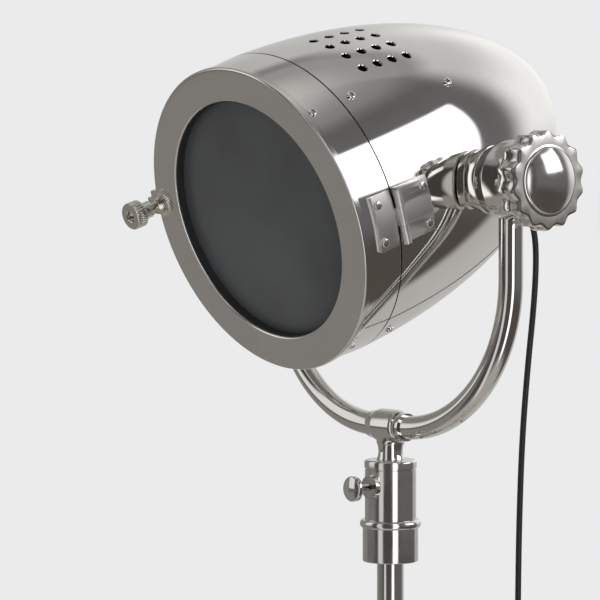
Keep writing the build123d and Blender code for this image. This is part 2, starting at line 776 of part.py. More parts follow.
def drum_section(angle=0.0):
    """A half plane through the drum's axis: x is the radius, y runs forwards."""
    return Plane(origin=CENTRE, x_dir=outward(angle), z_dir=outward(angle).cross(AHEAD))


ROLLED = Plane(origin=CENTRE, x_dir=outward(DOOR_ROLL), z_dir=AHEAD)


def dome_radius(along, skin=0.0):
    """The drum's radius at a place along its axis, grown by a skin."""
    share = (SEAM - along) / (DOME_DEPTH + skin)
    return (DRUM_R + skin) * sqrt(1 - share**2)


def on_dome(angle, along):
    """A plane lying on the drum's outside, z straight out of the metal."""
    radius = dome_radius(along)
    lean_out = radius / DRUM_R**2
    lean_back = (along - SEAM) / DOME_DEPTH**2
    normal = (outward(angle) * lean_out + AHEAD * lean_back).normalized()
    forward = (AHEAD * lean_out - outward(angle) * lean_back).normalized()
    place = CENTRE + outward(angle) * radius + AHEAD * along
    return Plane(origin=place, x_dir=forward, z_dir=normal)


DOOR_SLOPE = (DRUM_R - DOOR_FRONT_R) / (DOOR_FRONT - DOOR_REAR)


def door_radius(along):
    """The door ring's outer radius at a place along the drum's axis."""
    return DRUM_R - DOOR_SLOPE * (along - DOOR_REAR)


def on_door(angle, along):
    """A plane lying on the door ring's outside, z straight out of the metal."""
    normal = (outward(angle) + AHEAD * DOOR_SLOPE).normalized()
    forward = (AHEAD - outward(angle) * DOOR_SLOPE).normalized()
    place = CENTRE + outward(angle) * door_radius(along) + AHEAD * along
    return Plane(origin=place, x_dir=forward, z_dir=normal)


def on_leaf(angle, along):
    """A plane lying on a hinge leaf's outside, z square to the drum's axis."""
    place = CENTRE + outward(angle) * (DRUM_R + LEAF) + AHEAD * along
    return Plane(origin=place, x_dir=AHEAD, z_dir=outward(angle))


def biarc(start, heading, end, arrival):
    """Two arcs that leave and arrive along given headings."""
    span = end - start
    both = heading + arrival
    a = 2 * (heading.dot(arrival) - 1)
    b = -2 * span.dot(both)
    c = span.dot(span)
    reach = -c / b if abs(a) < 1e-9 else (-b - sqrt(b * b - 4 * a * c)) / (2 * a)
    middle = (start + heading * reach + end - arrival * reach) * 0.5
    first = TangentArc(start, middle, tangent=heading)
    TangentArc(middle, end, tangent=first % 1)


def dome_line(skin):
    """Draw the dome's quarter ellipse, grown by a skin, in arcs from its pole to the seam."""
    turns = [pi / 2 * step / DOME_STEPS for step in range(DOME_STEPS + 1)]
    width = DRUM_R + skin
    depth = DOME_DEPTH + skin
    for turn, next_turn in zip(turns, turns[1:]):
        biarc(
            Vector(width * sin(turn), SEAM - depth * cos(turn)),
            Vector(width * cos(turn), depth * sin(turn)).normalized(),
            Vector(width * sin(next_turn), SEAM - depth * cos(next_turn)),
            Vector(width * cos(next_turn), depth * sin(next_turn)).normalized(),
        )


def dome_blank(skin):
    """The solid inside the drum's skin, grown or shrunk, used to trim what sits on it."""
    with BuildPart() as blank:
        with BuildSketch(drum_section(PLAIN_ANGLE)):
            with BuildLine():
                dome_line(skin)
                Polyline((DRUM_R + skin, SEAM), (0, SEAM), (0, SEAM - DOME_DEPTH - skin))
            make_face()
        revolve(axis=DRUM_AXIS)
    return blank.part


def door_blank(skin):
    """The solid inside the door ring's skin, used to trim what sits on it."""
    return turned(
        drum_section(),
        [
            (0, SEAM),
            (DRUM_R + skin, SEAM),
            (DRUM_R + skin, DOOR_REAR),
            (door_radius(DOOR_FRONT) + skin, DOOR_FRONT),
            (0, DOOR_FRONT),
        ],
    ).part


DOME_SEAT = dome_blank(FIT)
CAVITY = dome_blank(-WALL - FIT)
DOOR_SEAT = door_blank(FIT)


def sector(angle, half_angle, rear, front, inner, outer):
    """A band of a ring about the drum's axis, centred on an angle."""
    with BuildPart() as band:
        with BuildSketch(drum_section(angle - half_angle)):
            with BuildLine():
                Polyline((inner, rear), (outer, rear), (outer, front), (inner, front), close=True)
            make_face()
        revolve(axis=DRUM_AXIS, revolution_arc=2 * half_angle)
    return band.part


def pan_screws(seats):
    """Slotted pan head screws, one on each seat plane."""
    with BuildPart() as screws:
        with Locations(*seats):
            Cylinder(SCREW_R, SCREW_SHANK, align=(Align.CENTER, Align.CENTER, Align.MAX))
            Cylinder(SCREW_HEAD_R, SCREW_HEAD, align=(Align.CENTER, Align.CENTER, Align.MIN))
        fillet(screws.edges().filter_by(GeomType.CIRCLE).group_by(SortBy.LENGTH)[-1], SCREW_HEAD / 3)
        with Locations(*[seat.offset(SCREW_HEAD) for seat in seats]):
            Box(2 * SCREW_HEAD_R, SLOT, 2 * SLOT, mode=Mode.SUBTRACT)
    return screws


def screw_holes(seats):
    """Cut the holes of a set of screws through the piece in hand."""
    with Locations(*seats):
        Cylinder(SCREW_R + FIT, 4 * SCREW_SHANK, mode=Mode.SUBTRACT)


BODY_SEATS = [on_dome(angle, BODY_SCREWS_AT) for angle in SCREW_ANGLES]
DOME_SEATS = [on_dome(angle, DOME_SCREWS_AT) for angle in DOME_SCREW_ANGLES]
DOOR_SEATS = [on_door(angle, DOOR_SCREWS_AT) for angle in SCREW_ANGLES]
LEAF_LEAN = degrees(asin(LEAF_SCREW_SPREAD / DRUM_R))
LEAF_ANGLES = (DOOR_ROLL - LEAF_LEAN, DOOR_ROLL + LEAF_LEAN)
BODY_LEAF_SEATS = [on_leaf(angle, BODY_LEAF_SCREWS) for angle in LEAF_ANGLES]
DOOR_LEAF_SEATS = [on_leaf(angle, DOOR_LEAF_SCREWS) for angle in LEAF_ANGLES]
GLAND_SEAT = on_dome(-90, GLAND_AT)

# Drum

VENT_LEANS = [VENT_PARTING + VENT_PITCH * row for row in range(VENT_ROWS)]
VENT_ANGLES = [90 + side * lean for side in (1, -1) for lean in VENT_LEANS]
VENT_PLACES = [VENT_FIRST + VENT_STEP * column for column in range(VENT_COLUMNS)]
with BuildPart() as housing:
    add(dome_blank(0))
    add(dome_blank(-WALL), mode=Mode.SUBTRACT)
    with Locations(*[on_dome(angle, along) for angle in VENT_ANGLES for along in VENT_PLACES]):
        Cylinder(VENT_R, 6 * WALL, mode=Mode.SUBTRACT)
    screw_holes(BODY_SEATS)
    screw_holes(DOME_SEATS)
    screw_holes(BODY_LEAF_SEATS)
    with Locations(GLAND_SEAT):
        Cylinder(GLAND_THREAD_R + FIT, 2 * GLAND_THREAD, mode=Mode.SUBTRACT)
    for side in SIDES.values():
        with BuildSketch(pivot_face(side, BOSS_INNER)):
            Circle(BOSS_SPIGOT_R + FIT)
        extrude(amount=BOSS_FACE - BOSS_INNER, mode=Mode.SUBTRACT)
save(housing, "housing")
save(pan_screws(BODY_SEATS + DOME_SEATS), "housing_screws")

# Pivot bosses, their nuts and the friction washers

with BuildPart() as pivot_bosses:
    for side in SIDES.values():
        with BuildSketch(pivot_face(side, BOSS_INNER)):
            Circle(BOSS_R)
        extrude(amount=BOSS_STEP - BOSS_INNER)
    add(DOME_SEAT, mode=Mode.SUBTRACT)
    for side in SIDES.values():
        with BuildSketch(pivot_face(side, BOSS_STEP)):
            Circle(BOSS_RING_R)
        extrude(amount=BOSS_FACE - BOSS_STEP)
        with BuildSketch(pivot_face(side, BOSS_INNER)):
            Circle(BOSS_SPIGOT_R)
        extrude(amount=BOSS_STEP - BOSS_INNER)
        with BuildSketch(pivot_face(side, BOSS_INNER - OVERCUT)):
            Circle(STUD_R + RUN)
        extrude(amount=BOSS_FACE - BOSS_INNER + 2 * OVERCUT, mode=Mode.SUBTRACT)
save(pivot_bosses, "pivot_bosses")

with BuildPart() as boss_nuts:
    for side in SIDES.values():
        with BuildSketch(pivot_face(side, BOSS_INNER)):
            Circle(BOSS_NUT_R)
            Circle(BOSS_SPIGOT_R + FIT, mode=Mode.SUBTRACT)
        extrude(amount=BOSS_STEP - BOSS_INNER)
    add(CAVITY, mode=Mode.INTERSECT)
save(boss_nuts, "boss_nuts")

with BuildPart() as tilt_washers:
    for side in SIDES.values():
        with BuildSketch(pivot_face(side, BOSS_FACE)):
            Circle(WASHER_R)
            Circle(STUD_R + RUN, mode=Mode.SUBTRACT)
        extrude(amount=WASHER)
save(tilt_washers, "tilt_washers")

# Reflector, bracket plate, lampholder and bulb

REFLECTOR_R = dome_radius(REFLECTOR_REAR, -WALL) - FIT
with BuildPart() as reflector:
    with BuildSketch(drum_section()):
        with BuildLine():
            Polyline(
                (REFLECTOR_R - REFLECTOR_WALL, REFLECTOR_REAR + REFLECTOR_WALL),
                (REFLECTOR_R - REFLECTOR_WALL, REFLECTOR_FRONT),
                (REFLECTOR_R, REFLECTOR_FRONT),
                (REFLECTOR_R, REFLECTOR_REAR),
            )
            ThreePointArc(
                (REFLECTOR_R, REFLECTOR_REAR),
                (REFLECTOR_BELLY_R, REFLECTOR_BELLY),
                (REFLECTOR_NECK_R, REFLECTOR_NECK),
            )
            Line(
                (REFLECTOR_NECK_R, REFLECTOR_NECK),
                (REFLECTOR_NECK_R, REFLECTOR_NECK + REFLECTOR_WALL),
            )
            ThreePointArc(
                (REFLECTOR_NECK_R, REFLECTOR_NECK + REFLECTOR_WALL),
                (REFLECTOR_BELLY_R - REFLECTOR_WALL, REFLECTOR_BELLY + REFLECTOR_WALL),
                (REFLECTOR_R - REFLECTOR_WALL, REFLECTOR_REAR + REFLECTOR_WALL),
            )
        make_face()
    revolve(axis=DRUM_AXIS)
    screw_holes(BODY_SEATS)
save(reflector, "reflector")

PLATE_R = dome_radius(PLATE_REAR, -WALL) - FIT
with BuildPart() as holder_plate:
    with BuildSketch(HEAD.offset(PLATE_REAR)):
        Circle(PLATE_R)
        Circle(HOLDER_TAIL_R + FIT, mode=Mode.SUBTRACT)
        with PolarLocations(PLATE_VENT_AT, PLATE_VENTS):
            Circle(PLATE_VENT_R, mode=Mode.SUBTRACT)
    extrude(amount=PLATE_WALL)
    with BuildSketch(HEAD.offset(PLATE_REAR)):
        Circle(PLATE_R)
        Circle(PLATE_R - PLATE_WALL, mode=Mode.SUBTRACT)
    extrude(amount=PLATE_RIM)
    for side in SIDES.values():
        with BuildSketch(pivot_face(side, BOSS_INNER - OVERCUT)):
            Circle(PLATE_NOTCH_R)
        extrude(amount=BOSS_FACE - BOSS_INNER, mode=Mode.SUBTRACT)
    screw_holes(DOME_SEATS)
save(holder_plate, "holder_plate")

PLATE_FRONT = PLATE_REAR + PLATE_WALL
lampholder = turned(
    drum_section(),
    [
        (0, HOLDER_REAR),
        (HOLDER_TAIL_R, HOLDER_REAR),
        (HOLDER_TAIL_R, PLATE_FRONT),
        (HOLDER_FLANGE_R, PLATE_FRONT),
        (HOLDER_FLANGE_R, PLATE_FRONT + HOLDER_FLANGE),
        (HOLDER_R, PLATE_FRONT + HOLDER_FLANGE),
        (HOLDER_R, HOLDER_FRONT),
        (BULB_CAP_R + FIT, HOLDER_FRONT),
        (BULB_CAP_R + FIT, BULB_CAP_REAR),
        (0, BULB_CAP_REAR),
    ],
)
save(lampholder, "lampholder")

with BuildPart() as bulb:
    with BuildSketch(drum_section()):
        with BuildLine():
            Polyline(
                (0, BULB_MIDDLE + BULB_R),
                (0, BULB_CAP_REAR),
                (BULB_CAP_R, BULB_CAP_REAR),
                (BULB_CAP_R, HOLDER_FRONT),
                (BULB_NECK_R, HOLDER_FRONT),
                (BULB_R, BULB_MIDDLE),
            )
            RadiusArc((BULB_R, BULB_MIDDLE), (0, BULB_MIDDLE + BULB_R), -BULB_R)
        make_face()
    revolve(axis=DRUM_AXIS)
save(bulb, "bulb")

# Door ring, bezel, glass, gasket and clips

GASKET_REAR = BEZEL_FRONT - BEZEL_LIP - BEZEL_EDGE - GASKET
with BuildPart() as door_ring:
    with BuildSketch(drum_section()):
        with BuildLine():
            Polyline(
                (DRUM_R, DOOR_REAR),
                (DOOR_FRONT_R, DOOR_FRONT),
                (DOOR_FRONT_R - WALL, DOOR_FRONT),
                (DRUM_R - WALL, DOOR_REAR),
                close=True,
            )
        make_face()
    revolve(axis=DRUM_AXIS)
    screw_holes(DOOR_SEATS + DOOR_LEAF_SEATS)
save(door_ring, "door_ring")

SKIRT_REAR = DOOR_FRONT - BEZEL_SKIRT
SKIRT_R = door_radius(SKIRT_REAR) + FIT
LIP_REAR = GASKET_REAR + GASKET
with BuildPart() as bezel:
    with BuildSketch(drum_section()):
        with BuildLine():
            FilletPolyline(
                (BEZEL_HOLE_R, LIP_REAR),
                (BEZEL_HOLE_R + BEZEL_WALL, LIP_REAR),
                (BEZEL_HOLE_R + BEZEL_WALL, DOOR_FRONT),
                (SKIRT_R, DOOR_FRONT),
                (SKIRT_R, SKIRT_REAR),
                (BEZEL_R, SKIRT_REAR),
                (BEZEL_R, BEZEL_FRONT),
                (BEZEL_HOLE_R, BEZEL_FRONT),
                radius=[0, 0, 0, 0, 0, 0, BEZEL_EDGE, BEZEL_EDGE],
                close=True,
            )
        make_face()
    revolve(axis=DRUM_AXIS)
save(bezel, "bezel")

GLASS_REAR = GASKET_REAR - GLASS
glass = turned(
    drum_section(), [(0, GLASS_REAR), (GLASS_R, GLASS_REAR), (GLASS_R, GASKET_REAR), (0, GASKET_REAR)]
)
save(glass, "glass")
glass_gasket = ring(HEAD.offset(GASKET_REAR), GLASS_R, BEZEL_HOLE_R, GASKET)
save(glass_gasket, "glass_gasket")

CLIP_FOOT_R = door_radius(DOOR_SCREWS_AT) - WALL - CLIP_GAP
with BuildPart() as glass_clips:
    for angle in SCREW_ANGLES:
        foot_at = CENTRE + outward(angle) * CLIP_FOOT_R + AHEAD * DOOR_SCREWS_AT
        tongue_at = CENTRE + outward(angle) * CLIP_FOOT_R + AHEAD * (GLASS_REAR - CLIP / 2)
        with Locations(Plane(origin=foot_at, x_dir=AHEAD, z_dir=outward(angle))):
            Box(CLIP_FOOT, CLIP_WIDTH, CLIP, align=(Align.CENTER, Align.CENTER, Align.MAX))
        with Locations(Plane(origin=tongue_at, x_dir=AHEAD, z_dir=outward(angle))):
            Box(
                CLIP,
                CLIP_WIDTH,
                CLIP_FOOT_R - CLIP_REACH,
                align=(Align.CENTER, Align.CENTER, Align.MAX),
            )
    screw_holes(DOOR_SEATS)
save(glass_clips, "glass_clips")
save(pan_screws(DOOR_SEATS), "door_screws")

# Hinge: a leaf on the drum, a leaf on the door and the pin

PIN_X = DRUM_R + KNUCKLE_STANDOFF + KNUCKLE_R
PIN_PLACE = ROLLED.from_local_coords(Vector(PIN_X, 0, PIN_AT))
LEAF_HALF_ANGLE = degrees(asin(LEAF_HALF / DRUM_R))
KNUCKLE = 2 * LEAF_HALF / KNUCKLES


def hinge_plane(height):
    """A plane across the hinge pin, x out of the drum and y towards the rear."""
    return Plane(origin=PIN_PLACE + ROLLED.y_dir * height, x_dir=ROLLED.x_dir, z_dir=ROLLED.y_dir)


def knuckles(numbers, towards_rear):
    """Knuckles of one leaf, each with the web that joins it to the leaf."""
    reach = (PIN_AT - BODY_LEAF_FRONT if towards_rear else DOOR_LEAF_REAR - PIN_AT) + LEAF
    with BuildPart() as barrel:
        for number in numbers:
            low = -LEAF_HALF + number * KNUCKLE + KNUCKLE_GAP / 2
            with BuildSketch(hinge_plane(low)):
                Circle(KNUCKLE_R)
                corner = Align.MIN if towards_rear else Align.MAX
                with Locations((-KNUCKLE_R, 0)):
                    Rectangle(WEB + KNUCKLE_STANDOFF, reach, align=(Align.CENTER, corner))
            extrude(amount=KNUCKLE - KNUCKLE_GAP)
    return barrel.part


def leaf(rear, front, blanks, numbers, towards_rear, bore, seats):
    """One hinge leaf that hugs the metal, with its knuckles, bore and screw holes."""
    with BuildPart() as plate:
        add(sector(DOOR_ROLL, LEAF_HALF_ANGLE, rear, front, DRUM_R - 3 * LEAF, DRUM_R + LEAF))
        add(knuckles(numbers, towards_rear))
        for blank in blanks:
            add(blank, mode=Mode.SUBTRACT)
        with BuildSketch(hinge_plane(-LEAF_HALF - OVERCUT)):
            Circle(bore)
        extrude(amount=2 * (LEAF_HALF + OVERCUT), mode=Mode.SUBTRACT)
        screw_holes(seats)
    return plate


hinge_body_leaf = leaf(
    BODY_LEAF_REAR, BODY_LEAF_FRONT, [DOME_SEAT], range(0, KNUCKLES, 2), True, PIN_R + FIT, BODY_LEAF_SEATS
)
save(hinge_body_leaf, "hinge_body_leaf")
door_blanks = [DOOR_SEAT, dome_blank(SLIDE)]
hinge_door_leaf = leaf(
    DOOR_LEAF_REAR, DOOR_LEAF_FRONT, door_blanks, range(1, KNUCKLES, 2), False, PIN_R + RUN, DOOR_LEAF_SEATS
)
save(hinge_door_leaf, "hinge_door_leaf")
save(pan_screws(BODY_LEAF_SEATS), "hinge_body_screws")
save(pan_screws(DOOR_LEAF_SEATS), "hinge_door_screws")

with BuildPart() as hinge_pin:
    with BuildSketch(hinge_plane(-LEAF_HALF)):
        Circle(PIN_R)
    extrude(amount=2 * LEAF_HALF)
    with BuildSketch(hinge_plane(LEAF_HALF)):
        Circle(PIN_HEAD_R)
    extrude(amount=PIN_HEAD)
save(hinge_pin, "hinge_pin")

# Latch: a keeper on the drum, a lug on the door and the captive knurled screw

LATCH_ANGLE = 180 + DOOR_ROLL
LATCH_LEAN = degrees(asin(LATCH_HALF / DRUM_R))
LATCH_MIDDLE = (LATCH_AT + LATCH_OUT + DRUM_R - OVERCUT) / 2
LATCH_BLOCK = LATCH_AT + LATCH_OUT - DRUM_R + OVERCUT


def latch_plane(along):
    """A plane across the latch screw, facing forwards."""
    return Plane(
        origin=ROLLED.from_local_coords(Vector(-LATCH_AT, 0, along)), x_dir=ROLLED.x_dir, z_dir=AHEAD
    )


with BuildPart() as latch_keeper:
    add(sector(LATCH_ANGLE, LATCH_LEAN, KEEPER_REAR, KEEPER_FRONT, DRUM_R - 3 * LEAF, DRUM_R + LEAF))
    with BuildSketch(ROLLED.offset(KEEPER_BLOCK)):
        with Locations((-LATCH_MIDDLE, 0)):
            RectangleRounded(LATCH_BLOCK, 2 * LATCH_HALF, LEAF)
    extrude(amount=KEEPER_FRONT - KEEPER_BLOCK)
    add(DOME_SEAT, mode=Mode.SUBTRACT)
    with BuildSketch(latch_plane(KEEPER_BLOCK - OVERCUT)):
        Circle(LATCH_SCREW_R + FREE)
    extrude(amount=KEEPER_FRONT - KEEPER_BLOCK + 2 * OVERCUT, mode=Mode.SUBTRACT)
save(latch_keeper, "latch_keeper")

with BuildPart() as latch_lug:
    add(sector(LATCH_ANGLE, LATCH_LEAN, LUG_REAR, LUG_FRONT, DRUM_R - 3 * LEAF, DRUM_R + LEAF))
    with BuildSketch(ROLLED.offset(LUG_BACK)):
        with Locations((-LATCH_MIDDLE, 0)):
            RectangleRounded(LATCH_BLOCK, 2 * LATCH_HALF, LEAF)
        with Locations((-LATCH_MIDDLE, LATCH_HALF)):
            RectangleRounded(LATCH_BLOCK / 2, 2 * LUG_EAR, LEAF)
    extrude(amount=LUG_FRONT - LUG_BACK)
    add(DOOR_SEAT, mode=Mode.SUBTRACT)
    with BuildSketch(latch_plane(LUG_BACK - OVERCUT)):
        Circle(LATCH_SCREW_R + RUN)
    extrude(amount=LUG_FRONT - LUG_BACK + 2 * OVERCUT, mode=Mode.SUBTRACT)
save(latch_lug, "latch_lug")

with BuildPart() as latch_screw:
    with BuildSketch(latch_plane(LATCH_TIP)):
        Circle(LATCH_SCREW_R)
    extrude(amount=LATCH_COLLAR - LATCH_TIP)
    with BuildSketch(latch_plane(LUG_FRONT + FACE)):
        Circle(LATCH_SEAT_R)
    extrude(amount=LATCH_SEAT)
    with BuildSketch(latch_plane(LATCH_COLLAR)):
        Circle(LATCH_COLLAR_R)
    extrude(amount=LATCH_HEAD - LATCH_COLLAR)
    with BuildSketch(latch_plane(LATCH_HEAD)):
        Circle(LATCH_HEAD_R)
        with PolarLocations(LATCH_HEAD_R + KNURL_R / 2, KNURLS):
            Circle(KNURL_R, mode=Mode.SUBTRACT)
    extrude(amount=LATCH_END - LATCH_HEAD)
    with BuildSketch(latch_plane(LATCH_END - LATCH_BORE)):
        Circle(LATCH_BORE_R)
    extrude(amount=LATCH_BORE + OVERCUT, mode=Mode.SUBTRACT)
save(latch_screw, "latch_screw")

# Cord gland at the lower rear of the drum

with BuildPart() as cord_gland:
    with BuildSketch(GLAND_SEAT.offset(-GLAND_FLANGE)):
        RegularPolygon(GLAND_R, 6)
    extrude(amount=2 * GLAND_FLANGE)
    add(DOME_SEAT, mode=Mode.SUBTRACT)
    with BuildSketch(GLAND_SEAT.offset(-GLAND_THREAD)):
        Circle(GLAND_THREAD_R)
    extrude(amount=GLAND_THREAD + GLAND_FLANGE)
    with BuildSketch(GLAND_SEAT.offset(GLAND_FLANGE)):
        Circle(GLAND_TAPER_R)
    with BuildSketch(GLAND_SEAT.offset(GLAND_LENGTH)):
        Circle(GLAND_TIP_R)
    loft()
    with BuildSketch(GLAND_SEAT.offset(-GLAND_THREAD - OVERCUT)):
        Circle(CORD_R + FIT)
    extrude(amount=GLAND_THREAD + GLAND_LENGTH + 2 * OVERCUT, mode=Mode.SUBTRACT)
save(cord_gland, "cord_gland")


# Cord: it hangs from the gland behind the column, then lies on the floor


def corner_radii(points):
    """The largest arc that each corner's two runs allow, 0.45 of the shorter run each side."""
    radii = []
    for before, corner, after in zip(points, points[1:], points[2:]):
        first = corner - before
        second = after - corner
        turn = radians(first.get_angle(second))
        radii.append(0.45 * min(first.length, second.length) / tan(turn / 2))
    return radii


def cord(label, points):
    """A round cord along a route of chosen points, written under its label."""
    route = [Vector(*point) for point in points]
    radii = corner_radii(route)
    with BuildPart() as length:
        with BuildLine() as path:
            FilletPolyline(*route, radius=radii)
        run = path.wires()[0]
        with BuildSketch(Plane(origin=run @ 0, z_dir=run % 0)):
            Circle(CORD_R)
        sweep(path=run)
    full = pi * CORD_R**2 * run.length
    print(label, "least radius", round(min(radii), 1), "length", round(run.length, 1))
    print(label, "volume over section times length", round(length.part.volume / full, 4))
    save(length, label)


DROP_SPLIT = (0, 171.5, 1181)
MAST_SPLIT = (0, 165.15, 771)
FLOOR_SPLIT = (0, 179.55, 227.5)
cord(
    "cord_top",
    [
        tuple(GLAND_SEAT.offset(CORD_START).origin),
        tuple(GLAND_SEAT.offset(CORD_FIRST).origin),
        (0, 184.5, 1344),
        (0, 186, 1316),
        (0, 183, 1275),
        (0, 175, 1216),
        DROP_SPLIT,
    ],
)
cord(
    "cord_drop",
    [
        DROP_SPLIT,
        (0, 168, 1146),
        (0, 164.5, 1064),
        (0, 163.3, 980),
        (0, 163, 896),
        (0, 163.9, 812),
        MAST_SPLIT,
    ],
)
cord(
    "cord_low",
    [
        MAST_SPLIT,
        (0, 166.4, 730),
        (0, 169.4, 655),
        (0, 173.6, 580),
        (0, 177.2, 505),
        (0, 179.4, 425),
        (0, 180.2, 345),
        (0, 179.9, 265),
        FLOOR_SPLIT,
    ],
)
cord(
    "cord_floor",
    [
        FLOOR_SPLIT,
        (0, 179.2, 190),
        (2, 179, 135),
        (9, 178.8, 88),
        (24, 178, 50),
        (48, 176.4, 24),
        (76, 173.8, 9.5),
        (104, SWITCH_Y, CORD_FLOOR_Z),
        (SWITCH_X, SWITCH_Y, CORD_FLOOR_Z),
    ],
)
cord(
    "cord_tail",
    [
        (SWITCH_X + SWITCH_LENGTH, SWITCH_Y, CORD_FLOOR_Z),
        (216, SWITCH_Y, CORD_FLOOR_Z),
        (238, 167, 4.6),
        (254, 151, 3.6),
        (259, 128, 3.3),
        (251, 106, 3.3),
        (232, 91, 3.3),
        (204, 84, 3.4),
        (168, 81.5, 3.8),
        (136, COIL_Y + COIL_R, COIL_LOW_Z),
        (COIL_X + 2 * CORD_R, COIL_Y + COIL_R, COIL_LOW_Z),
    ],
)

# Inline foot switch

SWITCH_TOP = FLOOR_GAP + SWITCH_HEIGHT
SWITCH_CENTRE = (SWITCH_X + SWITCH_LENGTH / 2, SWITCH_Y)
with BuildPart() as switch_body:
    with BuildSketch(Plane.XY.offset(FLOOR_GAP)):
        with Locations(SWITCH_CENTRE):
            RectangleRounded(SWITCH_LENGTH, SWITCH_WIDTH, SWITCH_CORNER)
    extrude(amount=SWITCH_HEIGHT)
    fillet(switch_body.faces().sort_by(Axis.Z)[-1].edges(), SWITCH_EDGE)
    with BuildSketch(Plane.XY.offset(SWITCH_TOP - BUTTON_WELL)):
        with Locations(SWITCH_CENTRE):
            Circle(BUTTON_R + SLIDE)
    extrude(amount=BUTTON_WELL + OVERCUT, mode=Mode.SUBTRACT)
save(switch_body, "switch_body")

with BuildPart() as switch_button:
    with BuildSketch(Plane.XY.offset(SWITCH_TOP - BUTTON_DEPTH)):
        with Locations(SWITCH_CENTRE):
            Circle(BUTTON_R)
    extrude(amount=BUTTON_DEPTH + BUTTON_PROUD)
    fillet(switch_button.faces().sort_by(Axis.Z)[-1].edges(), BUTTON_PROUD / 2)
save(switch_button, "switch_button")

# Put-away coil: two layers, in and out again, with its lead to the plug


def coil_stations():
    """Places and headings every half turn: in on the low layer, up, and out on top."""
    stations = []
    for half in range(COIL_DOWN_HALF_TURNS + 1):
        stations.append((half, COIL_R - COIL_PITCH / 2 * half, COIL_LOW_Z))
    climbed = COIL_DOWN_HALF_TURNS + 1
    stations.append((climbed, COIL_INNER_R, COIL_LOW_Z + COIL_LAYER))
    for half in range(1, COIL_UP_HALF_TURNS + 1):
        stations.append((climbed + half, COIL_TOP_R + COIL_PITCH / 2 * half, COIL_LOW_Z + COIL_LAYER))
    placed = []
    for half, radius, height in stations:
        side = 1 if half % 2 == 0 else -1
        placed.append((Vector(COIL_X, COIL_Y + side * radius, height), Vector(-side, 0, 0)))
    return placed


PLUG_X = COIL_X + PLUG_GAP
PLUG_Z = FLOOR_GAP + PLUG_THICK / 2
COIL_STATIONS = coil_stations()
COIL_LAST = COIL_STATIONS[-1][0]
with BuildPart() as cord_coil:
    with BuildLine() as coil_path:
        coil_start, coil_heading = COIL_STATIONS[0]
        Line(coil_start - coil_heading * 2 * CORD_R, coil_start)
        for (here, going), (there, arriving) in zip(COIL_STATIONS, COIL_STATIONS[1:]):
            biarc(here, going, there, arriving)
        plug_lead = Vector(PLUG_X - 2 * CORD_R, COIL_LAST.Y, PLUG_Z)
        biarc(COIL_LAST, Vector(1, 0, 0), plug_lead, Vector(1, 0, 0))
        Line(plug_lead, plug_lead + Vector(2 * CORD_R, 0, 0))
    COIL_RUN = coil_path.wires()[0]
    with BuildSketch(Plane(origin=COIL_RUN @ 0, z_dir=COIL_RUN % 0)):
        Circle(CORD_R)
    sweep(path=COIL_RUN)
save(cord_coil, "cord_coil")

COIL_LENGTH = COIL_RUN.length
COIL_STEP = CORD_R
COIL_POINTS = [
    COIL_RUN.position_at(COIL_STEP * number, position_mode=PositionMode.LENGTH)
    for number in range(int(COIL_LENGTH / COIL_STEP))
]
COIL_APART = min(
    (one - other).length
    for number, one in enumerate(COIL_POINTS)
    for other in COIL_POINTS[number + 12 :]
)
print("cord_coil length", round(COIL_LENGTH, 1), "least gap to itself", round(COIL_APART - 2 * CORD_R, 2))
print("cord_coil volume over section times length", cord_coil.part.volume / (pi * CORD_R**2 * COIL_LENGTH))

# Tie round the coil's turns on its +X side

TIE_INNER = (COIL_INNER_R + COIL_TOP_R + COIL_PITCH / 2) / 2 - CORD_R - TIE_SIDE
TIE_OUTER = COIL_R - 3 * COIL_PITCH / 4 + CORD_R + TIE_SIDE
TIE_LOW = COIL_LOW_Z - CORD_R - TIE_GAP / 2
TIE_HIGH = COIL_LOW_Z + COIL_LAYER + CORD_R + TIE_GAP / 2
with BuildPart() as coil_tie:
    with BuildSketch(Plane(origin=(COIL_X, COIL_Y - TIE_WIDTH / 2, 0), x_dir=(1, 0, 0), z_dir=(0, -1, 0))):
        with Locations(((TIE_INNER + TIE_OUTER) / 2, (TIE_LOW + TIE_HIGH) / 2)):
            Rectangle(TIE_OUTER - TIE_INNER + 2 * TIE_WALL, TIE_HIGH - TIE_LOW + 2 * TIE_WALL)
            Rectangle(TIE_OUTER - TIE_INNER, TIE_HIGH - TIE_LOW, mode=Mode.SUBTRACT)
    extrude(amount=-TIE_WIDTH)
save(coil_tie, "coil_tie")

# Two-pin plug, flat on the floor

PLUG_AXIS = Vector(PLUG_X, COIL_LAST.Y, PLUG_Z)
PLUG_BACK = Plane(origin=PLUG_AXIS, x_dir=(0, 1, 0), z_dir=(1, 0, 0))
with BuildPart() as plug_body:
    with BuildSketch(PLUG_BACK):
        RectangleRounded(PLUG_TAIL_WIDTH, PLUG_TAIL_THICK, PLUG_TAIL_THICK / 3)
    with BuildSketch(PLUG_BACK.offset(PLUG_LENGTH)):
        RectangleRounded(PLUG_WIDTH, PLUG_THICK, PLUG_THICK / 3)
    loft()
    with BuildSketch(PLUG_BACK.offset(PLUG_LENGTH - PLUG_PIN_ROOT)):
        with Locations((-PLUG_PIN_SPREAD, 0), (PLUG_PIN_SPREAD, 0)):
            Circle(PLUG_PIN_R + FIT)
    extrude(amount=PLUG_PIN_ROOT + OVERCUT, mode=Mode.SUBTRACT)
save(plug_body, "plug_body")

with BuildPart() as plug_pins:
    with BuildSketch(PLUG_BACK.offset(PLUG_LENGTH - PLUG_PIN_ROOT + FIT)):
        with Locations((-PLUG_PIN_SPREAD, 0), (PLUG_PIN_SPREAD, 0)):
            Circle(PLUG_PIN_R)
    extrude(amount=PLUG_PIN_ROOT + PIN_LENGTH)
save(plug_pins, "plug_pins")
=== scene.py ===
"""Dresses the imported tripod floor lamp: a polished studio spot in a yoke, its stand and its cord."""

